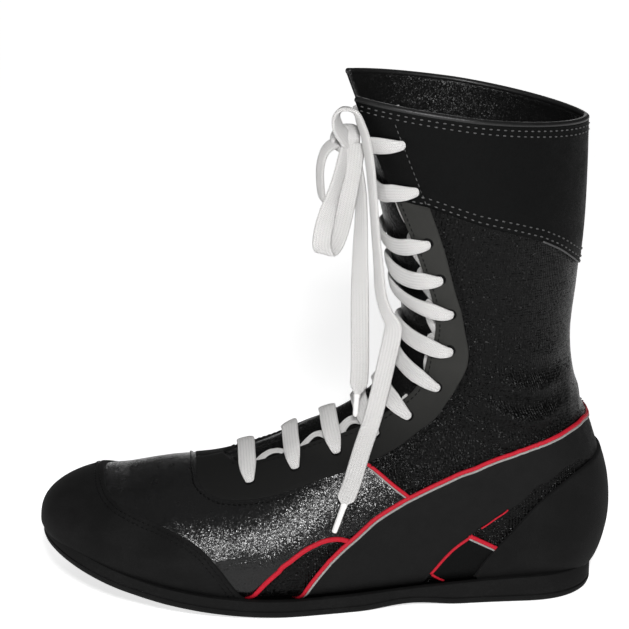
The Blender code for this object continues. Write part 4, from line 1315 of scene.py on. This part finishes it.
def make_tongue():
    """Padded tongue behind the lace, thicker in its middle and rounded at its edges."""
    front = []
    back = []
    front_depth, front_swell = TONGUE_FRONT
    back_depth, back_swell = TONGUE_BACK
    first, last = TONGUE[0].place, TONGUE[-1].place
    for i in range(TONGUE_ROWS + 1):
        place = first + (last - first) * i / TONGUE_ROWS
        half_turn = through_rows(TONGUE, "place", "half_turn", place)
        near_top = max(i - TONGUE_ROWS + TONGUE_TOP_ROWS, 0.0) / TONGUE_TOP_ROWS
        row_front = []
        row_back = []
        for j in range(TONGUE_COLUMNS + 1):
            share = 2.0 * j / TONGUE_COLUMNS - 1.0
            point = tongue_point(place, half_turn * share)
            normal = form_normal(place, half_turn * share, tongue_point)
            swell = (1.0 - abs(share) ** 3) * (1.0 - near_top * TONGUE_TOP_THINNER)
            row_front.append(point - normal * ((front_depth - front_swell * swell) * MM))
            row_back.append(point - normal * ((back_depth + back_swell * swell) * MM))
        front.append(row_front)
        back.append(row_back)
    tongue = add_piece("tongue_padded", sheet_mesh(front, back), "tongue", "tongue")


# Bars of the lace and their eyelets
BarShape = namedtuple("BarShape", "lift tilt sag")
BAR_SHAPES = rows_of(
    BarShape,
    (0.3, 4.0, 0.3), (0.4, -5.0, 0.4), (0.2, 6.0, 0.4), (0.5, -3.0, 0.8), (0.3, 8.0, 1.4), (0.6, -6.0, 2.0),
    (0.8, 7.0, 2.4), (1.0, -8.0, 2.2), (0.7, 9.0, 2.8), (1.1, -4.0, 3.0), (0.9, 10.0, 2.6), (0.8, -7.0, 3.0),
)
BarEnd = namedtuple("BarEnd", "turn rise width")
BAR_END = rows_of(
    BarEnd,
    (-0.6, -1.3, 0.26), (0.4, -0.3, 0.38), (1.6, 0.8, 0.49), (3.2, 1.7, 0.61), (5.2, 2.2, 0.73),
    (7.6, 2.5, 0.84), (10.4, 2.5, 0.93),
)
BAR_END_TURN = 13.0
BAR_REST = 1.25 + LACE_THICKNESS / 2.0
BAR_STEPS = 34
BAR_SIDES = 18
BAR_THINNEST = 0.7
PLACE_PROBE = 0.2
LOW_STRETCHES = 3
# Share of the throat's turn that an under strand reaches, and share of the lace's width, low and high up
LOW_STRETCH = (0.62, 0.75)
HIGH_STRETCH = (0.78, 0.55)
STRETCH_STEPS = 16
STRETCH_SIDES = 14
STRETCH_ROUND = 2.4
STRETCH_BOW = 0.4
STRETCH_DEPTH = 3.4
STRETCH_LIFT = 2.2
LACE_ROUND = 2.5
EYELET_IN = 1.8
EYELET_SIDES = 18
EYELET_DISH = ((2.9, 0.05), (2.6, 0.25), (2.3, 0.12), (2.0, -0.5), (1.9, -1.4))


def lace_point(place, angle):
    """Point of the form, with the throat's opening flattened as far as the lace is slack."""
    section, outer_y, outer_height, inner_y, inner_height = throat_chord(place)
    height, y = section_local(section, angle)
    if outer_y < y < inner_y:
        share = (y - outer_y) / (inner_y - outer_y)
        straight = outer_height * (1.0 - share) + inner_height * share
        height += (straight - height) * slack(place)
    return from_local(section, height, y)


def make_bar(number, row, shape):
    """One bar of the lace: out of an eyelet, over the flap, across the throat and into the other eyelet."""
    outer = throat_edges(row.place)[0]
    first, last = -row.outer_turn, row.inner_turn
    start, stop = first + BAR_END_TURN, last - BAR_END_TURN
    stops = [(first + end.turn, end.rise, end.width) for end in BAR_END]
    stops += [(start + (stop - start) * i / BAR_STEPS, BAR_REST, 1.0) for i in range(BAR_STEPS + 1)]
    stops += [(last - end.turn, end.rise, end.width) for end in reversed(BAR_END)]
    place_run = lace_point(row.place + PLACE_PROBE, first) - lace_point(row.place - PLACE_PROBE, first)
    place_length = place_run.length / MM / (2.0 * PLACE_PROBE)
    points = []
    normals = []
    sections = []
    for angle, rise, width in stops:
        from_tip = (angle - first) / row.outer_turn if angle < 0.0 else (last - angle) / row.inner_turn
        swing = math.sin(math.pi * min(max(from_tip, 0.0), 1.0))
        hang = max(2.0 * from_tip - from_tip * from_tip, 0.0)
        place = row.place - shape.sag * swing / place_length - row.droop * hang
        normal = form_normal(place, angle, lace_point)
        middle = max(0.0, 1.0 - abs(angle) / max(outer, 1.0))
        points.append(lace_point(place, angle) + normal * ((rise + shape.lift * middle) * MM))
        along = lace_point(place, angle + 1.0) - lace_point(place, angle - 1.0)
        turn = math.radians(shape.tilt * swing)
        normals.append(Matrix.Rotation(turn, 3, along.normalized()) @ normal)
        thickness = LACE_THICKNESS * (BAR_THINNEST + (1.0 - BAR_THINNEST) * width)
        sections.append(outline(LACE_WIDTH * width, thickness, BAR_SIDES, LACE_ROUND))
    mesh = sweep_mesh(points, normals, sections)
    add_piece(f"lace_over_{number:02d}", mesh, "lace", f"lace_bar_{number:02d}")


def make_inner_lace(number, low, high, side, sign):
    """Stretch of the lace under a flap, from one eyelet up to the next, bowed to show on the outer side."""
    points = []
    normals = []
    on_vamp = number <= LOW_STRETCHES
    reach, width = LOW_STRETCH if on_vamp else HIGH_STRETCH
    for i in range(STRETCH_STEPS + 1):
        share = i / STRETCH_STEPS
        place, outer_turn, inner_turn, _ = between(low, high, share)
        straight = -outer_turn if sign < 0.0 else inner_turn
        bow = math.sin(math.pi * share) ** STRETCH_BOW if sign < 0.0 else 0.0
        angle = straight + (throat_edge(place, sign) * reach - straight) * bow
        normal = form_normal(place, angle, lace_point)
        depth = STRETCH_DEPTH - (STRETCH_LIFT * bow if on_vamp else 0.0)
        points.append(lace_point(place, angle) - normal * (depth * MM))
        normals.append(normal)
    section = outline(LACE_WIDTH * width, LACE_THICKNESS, STRETCH_SIDES, STRETCH_ROUND)
    mesh = sweep_mesh(points, normals, [section] * len(points))
    add_piece(f"lace_under_{side}_{number:02d}", mesh, "lace")


def make_eyelet_holes():
    """Punched holes in the facings: a dark dish with a pressed edge at each end of a bar."""
    mesh = bmesh.new()
    for row in LACE_ROWS:
        for angle in (EYELET_IN - row.outer_turn, row.inner_turn - EYELET_IN):
            centre = on_form(row.place, angle, FACING_RISE)
            normal = form_normal(row.place, angle)
            side = normal.orthogonal().normalized()
            up = normal.cross(side)
            rings = [ring_at(mesh, centre + normal * (height * MM), side, up, radius, EYELET_SIDES)
                     for radius, height in EYELET_DISH]
            bridge(mesh, rings)
            mesh.faces.new(rings[-1])
            mesh.faces.new(rings[0][::-1])
    bmesh.ops.recalc_face_normals(mesh, faces=mesh.faces)
    add_piece("eyelet_holes", mesh, "dark_thread")


def route_curve(route, steps):
    """Points and normals of a free lace."""
    stops = smooth_path(route, steps)
    points = [place_point(stop.along, stop.y, stop.z) for stop in stops]
    normals = []
    last = len(points) - 1
    for i, stop in enumerate(stops):
        turn = math.radians(stop.facing)
        tangent = (points[min(i + 1, last)] - points[max(i - 1, 0)]).normalized()
        normal = Vector((0.0, -math.cos(turn), math.sin(turn)))
        normals.append(Matrix.Rotation(math.radians(stop.twist), 3, tangent) @ normal)
    return points, normals


ROUTE_STEPS = 8
ROUTE_SIDES = 16
# Share of the width that is left, and the steps in which it widens again
AT_AN_END = (0.7, 6.0)
AT_A_TIP = (0.45, 8.0)


def narrowed(least, widening, steps):
    """Share of the lace's width at a number of steps from a narrow place."""
    return least + (1.0 - least) * min(steps / widening, 1.0)


def free_lace(name, route, node, with_pieces=()):
    """Hanging stretch of the lace, narrow at both ends and most where it enters a tip."""
    points, normals = route_curve(route, ROUTE_STEPS)
    last = len(points) - 1
    sections = []
    for i in range(last + 1):
        wide = LACE_WIDTH * narrowed(*AT_AN_END, min(i, last - i))
        if with_pieces:
            wide *= narrowed(*AT_A_TIP, last - i)
        sections.append(outline(wide, LACE_THICKNESS, ROUTE_SIDES, LACE_ROUND))
    item = add_piece(name, sweep_mesh(points, normals, sections), "lace", node)


# Distance along a tip, as a share of its length, and radius
TIP_PROFILE = ((-0.06, 1.2), (-0.05, 1.75), (0.0, 1.85), (0.10, 1.8), (0.13, 1.62), (0.5, 1.55), (0.9, 1.5),
               (0.97, 1.3), (1.0, 0.7))


def make_tip(name, ends, node):
    """Hard tip of the lace, rounded at its end, with a pressed ring where it grips the braid."""
    start, end = (place_point(*point) for point in ends)
    points = [start + (end - start) * share for share, _ in TIP_PROFILE]
    normals = [(end - start).normalized().orthogonal()] * len(points)
    sections = [outline(radius * 2.0, radius * 1.8, 14) for _, radius in TIP_PROFILE]
    return add_piece(name, sweep_mesh(points, normals, sections), "tip", node)


KnotBand = namedtuple("KnotBand", "across_axis up_axis wide tall shift width")
KNOT_BANDS = rows_of(
    KnotBand,
    ((0.25, -0.95, 0.1), (0.1, 0.1, 1.0), 7.0, 5.6, (1.0, 0.0, 0.5), 7.0),
    ((-0.9, -0.2, 0.3), (0.25, -0.25, 0.95), 6.0, 5.6, (-1.0, -1.5, 0.0), 6.5),
    ((0.8, -0.6, 0.0), (0.35, 0.5, 0.8), 6.0, 5.4, (-0.5, -1.0, -0.5), 6.0),
)
KNOT_STEPS = 48
KNOT_MIDDLE = Vector((5.0, 5.6, 4.8))


def make_knot():
    """Knot: three bands of lace drawn around each other over a full middle."""
    centre = place_point(*KNOT_CENTRE)
    for number, band in enumerate(KNOT_BANDS, 1):
        first = Vector(band.across_axis).normalized()
        upward = Vector(band.up_axis)
        second = (upward - first * upward.dot(first)).normalized()
        points = []
        normals = []
        for i in range(KNOT_STEPS):
            turn = 2.0 * math.pi * i / KNOT_STEPS
            out = first * (math.cos(turn) * band.wide) + second * (math.sin(turn) * band.tall)
            points.append(centre + (out + Vector(band.shift)) * MM)
            normals.append(out.normalized())
        sections = [outline(band.width, LACE_THICKNESS, 14, LACE_ROUND)] * len(points)
        mesh = sweep_mesh(points, normals, sections, closed=True)
        add_piece(f"knot_band_{number}", mesh, "lace", "lace_knot" if number == 1 else None)
    mesh = bmesh.new()
    bmesh.ops.create_uvsphere(mesh, u_segments=24, v_segments=16, radius=1.0)
    bmesh.ops.scale(mesh, vec=KNOT_MIDDLE * MM, verts=mesh.verts)
    bmesh.ops.translate(mesh, vec=centre, verts=mesh.verts)
    uv = mesh.loops.layers.uv.new("UVMap")
    for face in mesh.faces:
        for loop in face.loops:
            loop[uv].uv = (loop.vert.co.y / MM / UV_UNIT, loop.vert.co.z / MM / UV_UNIT)
    add_piece("knot_middle", mesh, "lace")


# Stitches, as a spacing, a length and a radius, and lines of stitches and piping that both sides have.
# A line's shift to the side is the one of the inner side.
COLLAR_THREAD = (3.8, 1.6, 0.34)
FLAP_THREAD = (3.2, 1.7, 0.24)
FACING_THREAD = (2.8, 1.7, 0.3)
FINE_THREAD = (2.8, 1.7, 0.28)
STITCH_RINGS = ((-0.5, 0.4), (-0.3, 1.0), (0.3, 1.0), (0.5, 0.4))
STITCH_SIDES = 6
STITCH_STEPS = 8
BAND_STITCH_RISE = 0.95
BAND_MARGIN = 2.0
COLLAR_DROPS = (2.7, 5.4)
SEAM_LIFTS = (2.2, 5.6)
SEAM_PLACE_LENGTH = 26.0
COLLAR_PLACE_LENGTH = 28.0
COLLAR_PLACE_CLOSER = 4.0
BAND_STEPS = 160
BAND_FOOT = 15.0
FLAP_TURN = 17.0
FLAP_STEPS = 30
FLAP_BELOW_COLLAR = 0.35
CAP_STITCH_RISE = CAP_RISE + 0.12
CAP_INSETS = (2.4, 4.8)
CAP_SEWN_TURN = 140.0
SewnLine = namedtuple("SewnLine", "line rise thread shift")
SEWN_LINES = rows_of(
    SewnLine,
    (FACING_EDGE, 1.05, FACING_THREAD, 2.4), (MAIN_PIPING, 0.55, FINE_THREAD, -3.4),
    (RED_ARC, 0.55, FINE_THREAD, 2.4),
)
PipingRow = namedtuple("PipingRow", "name line width height rise look shift")
SIDE_PIPING = rows_of(
    PipingRow,
    ("arc", RED_ARC, 2.6, 1.6, 0.5, "red", 0.0),
    ("seam_red", RED_SEAM, 1.9, 1.4, 0.5, "red", 0.0),
    ("seam_grey", RED_SEAM, 0.9, 1.0, 0.5, "grey", 1.3),
    ("inset", WINDOW[:4], 1.5, 1.1, 0.5, "red", 0.0),
    ("inset_top", WINDOW[3:], 2.2, 1.3, 0.5, "red", 0.0),
    ("inset_grey", WINDOW[3:], 1.0, 1.0, 0.5, "grey", 1.5),
    ("inset_foot", WINDOW_FOOT[:2], 1.4, 1.1, 0.5, "red", 0.0),
    ("collar", COLLAR_SEAM[6:], 1.0, 1.1, 0.5, "dim_grey", 0.0),
    ("line", THIN_LINE, 0.8, 0.8, 0.4, "red", 0.0),
)


def stitch_row(mesh, points, normals, spacing, length, radius):
    """Add a row of stitches along points: short rounded bars of thread."""
    total = lengths(points)
    for spot in np.arange(spacing / 2.0, total[-1], spacing):
        index = int(np.searchsorted(total, spot)) - 1
        index = min(max(index, 0), len(points) - 2)
        share = (spot - total[index]) / max(total[index + 1] - total[index], 1e-6)
        centre = points[index].lerp(points[index + 1], share)
        tangent = (points[index + 1] - points[index]).normalized()
        normal = normals[index]
        side = normal.cross(tangent).normalized()
        rings = []
        for run, size in STITCH_RINGS:
            middle = centre + tangent * (run * length * MM)
            rings.append(ring_at(mesh, middle, side, normal, radius * size, STITCH_SIDES))
        bridge(mesh, rings)
        mesh.faces.new(rings[0][::-1])
        mesh.faces.new(rings[-1])


def sew(mesh, stops, rise, thread, shift=0.0):
    """Add a row of stitches over stops of the form, moved sideways along the surface by a shift."""
    points, normals = over_form(stops, rise)
    last = len(points) - 1
    moved = []
    for i, (point, normal) in enumerate(zip(points, normals)):
        tangent = (points[min(i + 1, last)] - points[max(i - 1, 0)]).normalized()
        moved.append(point + normal.cross(tangent).normalized() * (shift * MM))
    stitch_row(mesh, moved, normals, *thread)


def collar_drop(drop, angle):
    """Place of a point at a drop under the collar, whose rows are closer together at the back."""
    return COLLAR - drop / (COLLAR_PLACE_LENGTH - COLLAR_PLACE_CLOSER * math.sin(math.radians(angle / 2.0)))


def make_stitches():
    """Stitch rows of the collar, its flaps, the facings, the toe cap and the piping."""
    grey = bmesh.new()
    dark = bmesh.new()
    shares = np.linspace(0.0, 1.0, BAND_STEPS + 1)
    for drop in COLLAR_DROPS:
        stops = [(collar_drop(drop, angle), angle) for angle in around_throat(COLLAR, shares, BAND_MARGIN)]
        sew(grey, stops, BAND_STITCH_RISE, COLLAR_THREAD)
    for lift in SEAM_LIFTS:
        stops = [(seam_place(angle) + lift / SEAM_PLACE_LENGTH, angle)
                 for angle in around_throat(BAND_FOOT, shares, BAND_MARGIN)]
        sew(grey, stops, BAND_STITCH_RISE, COLLAR_THREAD)
    run = COLLAR - FLAP_BELOW_COLLAR - BAND_FOOT
    places = [BAND_FOOT + run * i / FLAP_STEPS for i in range(FLAP_STEPS + 1)]
    for _, turn, sign in SIDES:
        stops = [(place, throat_edge(place, sign) + sign * FLAP_TURN) for place in places]
        sew(grey, stops, BAND_STITCH_RISE, FLAP_THREAD)
        for row in SEWN_LINES:
            sew(dark, smooth_path(turn(row.line), STITCH_STEPS), row.rise, row.thread, row.shift * sign)
    angles = [-CAP_SEWN_TURN + 2.0 * CAP_SEWN_TURN * i / CAP_ROWS for i in range(CAP_ROWS + 1)]
    stops = [(toe_cap_edge(angle), angle) for angle in angles]
    for inset in CAP_INSETS:
        sew(dark, stops, CAP_STITCH_RISE, FINE_THREAD, inset)
    for name, mesh, look in (("grey_stitches", grey, "grey_thread"), ("dark_stitches", dark, "dark_thread")):
        bmesh.ops.recalc_face_normals(mesh, faces=mesh.faces)
        add_piece(name, mesh, look)


def make_piping():
    """Red and grey piping along the seams, the same on both sides."""
    around = [*MAIN_PIPING, *(row._replace(angle=-360.0 - row.angle) for row in reversed(MAIN_PIPING[:-1]))]
    piping("main_red", around, 2.2, 1.6, 0.55, "red", 0.5)
    piping("main_grey", around, 1.2, 1.1, 0.55, "grey", -1.15)
    for side, turn, sign in SIDES:
        for row in SIDE_PIPING:
            piping(f"{row.name}_{side}", turn(row.line), *row[2:6], row.shift * sign)


# Camera: where it stands around the shoe, and its lens, as the photograph was taken
CAMERA_YAW = 3.5
CAMERA_RISE = 18.5
CAMERA_DISTANCE = 1.4
CAMERA_TARGET = Vector((-0.005, 0.0, 0.145))
CAMERA_FOCAL_PIXELS = 2760.0
IMAGE_PIXELS = 629.0
SENSOR = 36.0


def make_camera():
    """Camera at the photograph's angle."""
    yaw, rise = math.radians(CAMERA_YAW), math.radians(CAMERA_RISE)
    back = Vector((-math.sin(yaw) * math.cos(rise), -math.cos(yaw) * math.cos(rise), math.sin(rise)))
    data = bpy.data.cameras.new("camera")
    data.sensor_width = SENSOR
    data.lens = CAMERA_FOCAL_PIXELS * SENSOR / IMAGE_PIXELS
    data.clip_start = 0.01
    camera = add_data("camera", data)
    camera.location = CAMERA_TARGET + back * CAMERA_DISTANCE
    camera.rotation_euler = back.to_track_quat("Z", "Y").to_euler()
    bpy.context.scene.camera = camera


LightRow = namedtuple("LightRow", "name place target size power")
LIGHTS = rows_of(
    LightRow,
    ("key", (-0.02, -1.75, 1.18), (-0.03, 0.0, 0.08), 0.26, 31.0),
    ("flash", (-0.22, -1.75, 0.72), (0.0, 0.0, 0.14), 0.12, 9.0),
    ("far_fill", (0.3, 2.2, 0.5), (0.0, 0.0, 0.12), 1.0, 4.0),
)
SUN_STRENGTH = 0.2
SUN_ANGLE = 60.0
SURROUND_LOW = 0.04
SURROUND_HIGH = 0.14
FLOOR_GLOW = 0.65
FLOOR_HALF_SIZE = 6.0
FLOOR_DROP = 0.0002
WHITE = (1.0, 1.0, 1.0, 1.0)


def make_stage():
    """Pale floor, soft lights and a surround that is brighter above."""
    mesh = bmesh.new()
    bmesh.ops.create_grid(mesh, x_segments=2, y_segments=2, size=FLOOR_HALF_SIZE)
    paint = new_material("floor_paint", neutral(0.90), 0.9, Specular_IOR_Level=0.1, Emission_Color=WHITE,
                         Emission_Strength=FLOOR_GLOW)
    floor = add_data("floor", mesh_data("floor", mesh, paint))
    floor.location = (0.0, 0.0, -FLOOR_DROP)
    for row in LIGHTS:
        lamp = bpy.data.lights.new(row.name, "AREA")
        lamp.shape = "DISK"
        lamp.size = row.size
        lamp.energy = row.power
        item = add_data(row.name, lamp)
        item.location = row.place
        item.rotation_euler = (Vector(row.place) - Vector(row.target)).to_track_quat("Z", "Y").to_euler()
    lamp = bpy.data.lights.new("overhead", "SUN")
    lamp.energy = SUN_STRENGTH
    lamp.angle = math.radians(SUN_ANGLE)
    add_data("overhead", lamp)
    world = bpy.data.worlds.new("surround")
    world.use_nodes = True
    background = world.node_tree.nodes["Background"]
    background.inputs["Color"].default_value = WHITE
    heights = add_node(world, "ShaderNodeSeparateXYZ", Vector=coordinates(world, "Generated"))
    glow = spread(world, heights.outputs[2], 0.2, 0.8, SURROUND_LOW, SURROUND_HIGH)
    world.node_tree.links.new(glow, background.inputs["Strength"])
    bpy.context.scene.world = world
    bpy.context.scene.view_settings.view_transform = "Standard"


def make_laces():
    """Free lace first, then the bars and what passes under the flaps."""
    short_tip = make_tip("tip_short", SHORT_TIP, "lace_tip_short")
    long_tip = make_tip("tip_long", LONG_TIP, "lace_tip_long")
    free_lace("lace_short", SHORT_END, "lace_end_short", (short_tip,))
    free_lace("lace_long", LONG_END, "lace_end_long", (long_tip,))
    free_lace("loop_large", LARGE_LOOP, "lace_loop_large")
    free_lace("loop_small", SMALL_LOOP, "lace_loop_small")
    make_knot()
    for number, (row, shape) in enumerate(zip(LACE_ROWS, BAR_SHAPES), 1):
        make_bar(number, row, shape)
    for number, (low, high) in enumerate(zip(LACE_ROWS, LACE_ROWS[1:]), 1):
        for side, _, sign in SIDES:
            make_inner_lace(number, low, high, side, sign)
    make_eyelet_holes()


make_camera()
make_laces()
make_stage()
make_shell()
make_vamp()
make_side_panels()
make_facings()
make_collar()
make_toe_cap()
make_heel_counter()
make_sole()
make_tongue()
make_piping()
make_stitches()
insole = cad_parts["insole"]
insole.data.materials.clear()
insole.data.materials.append(LOOKS["insole"])
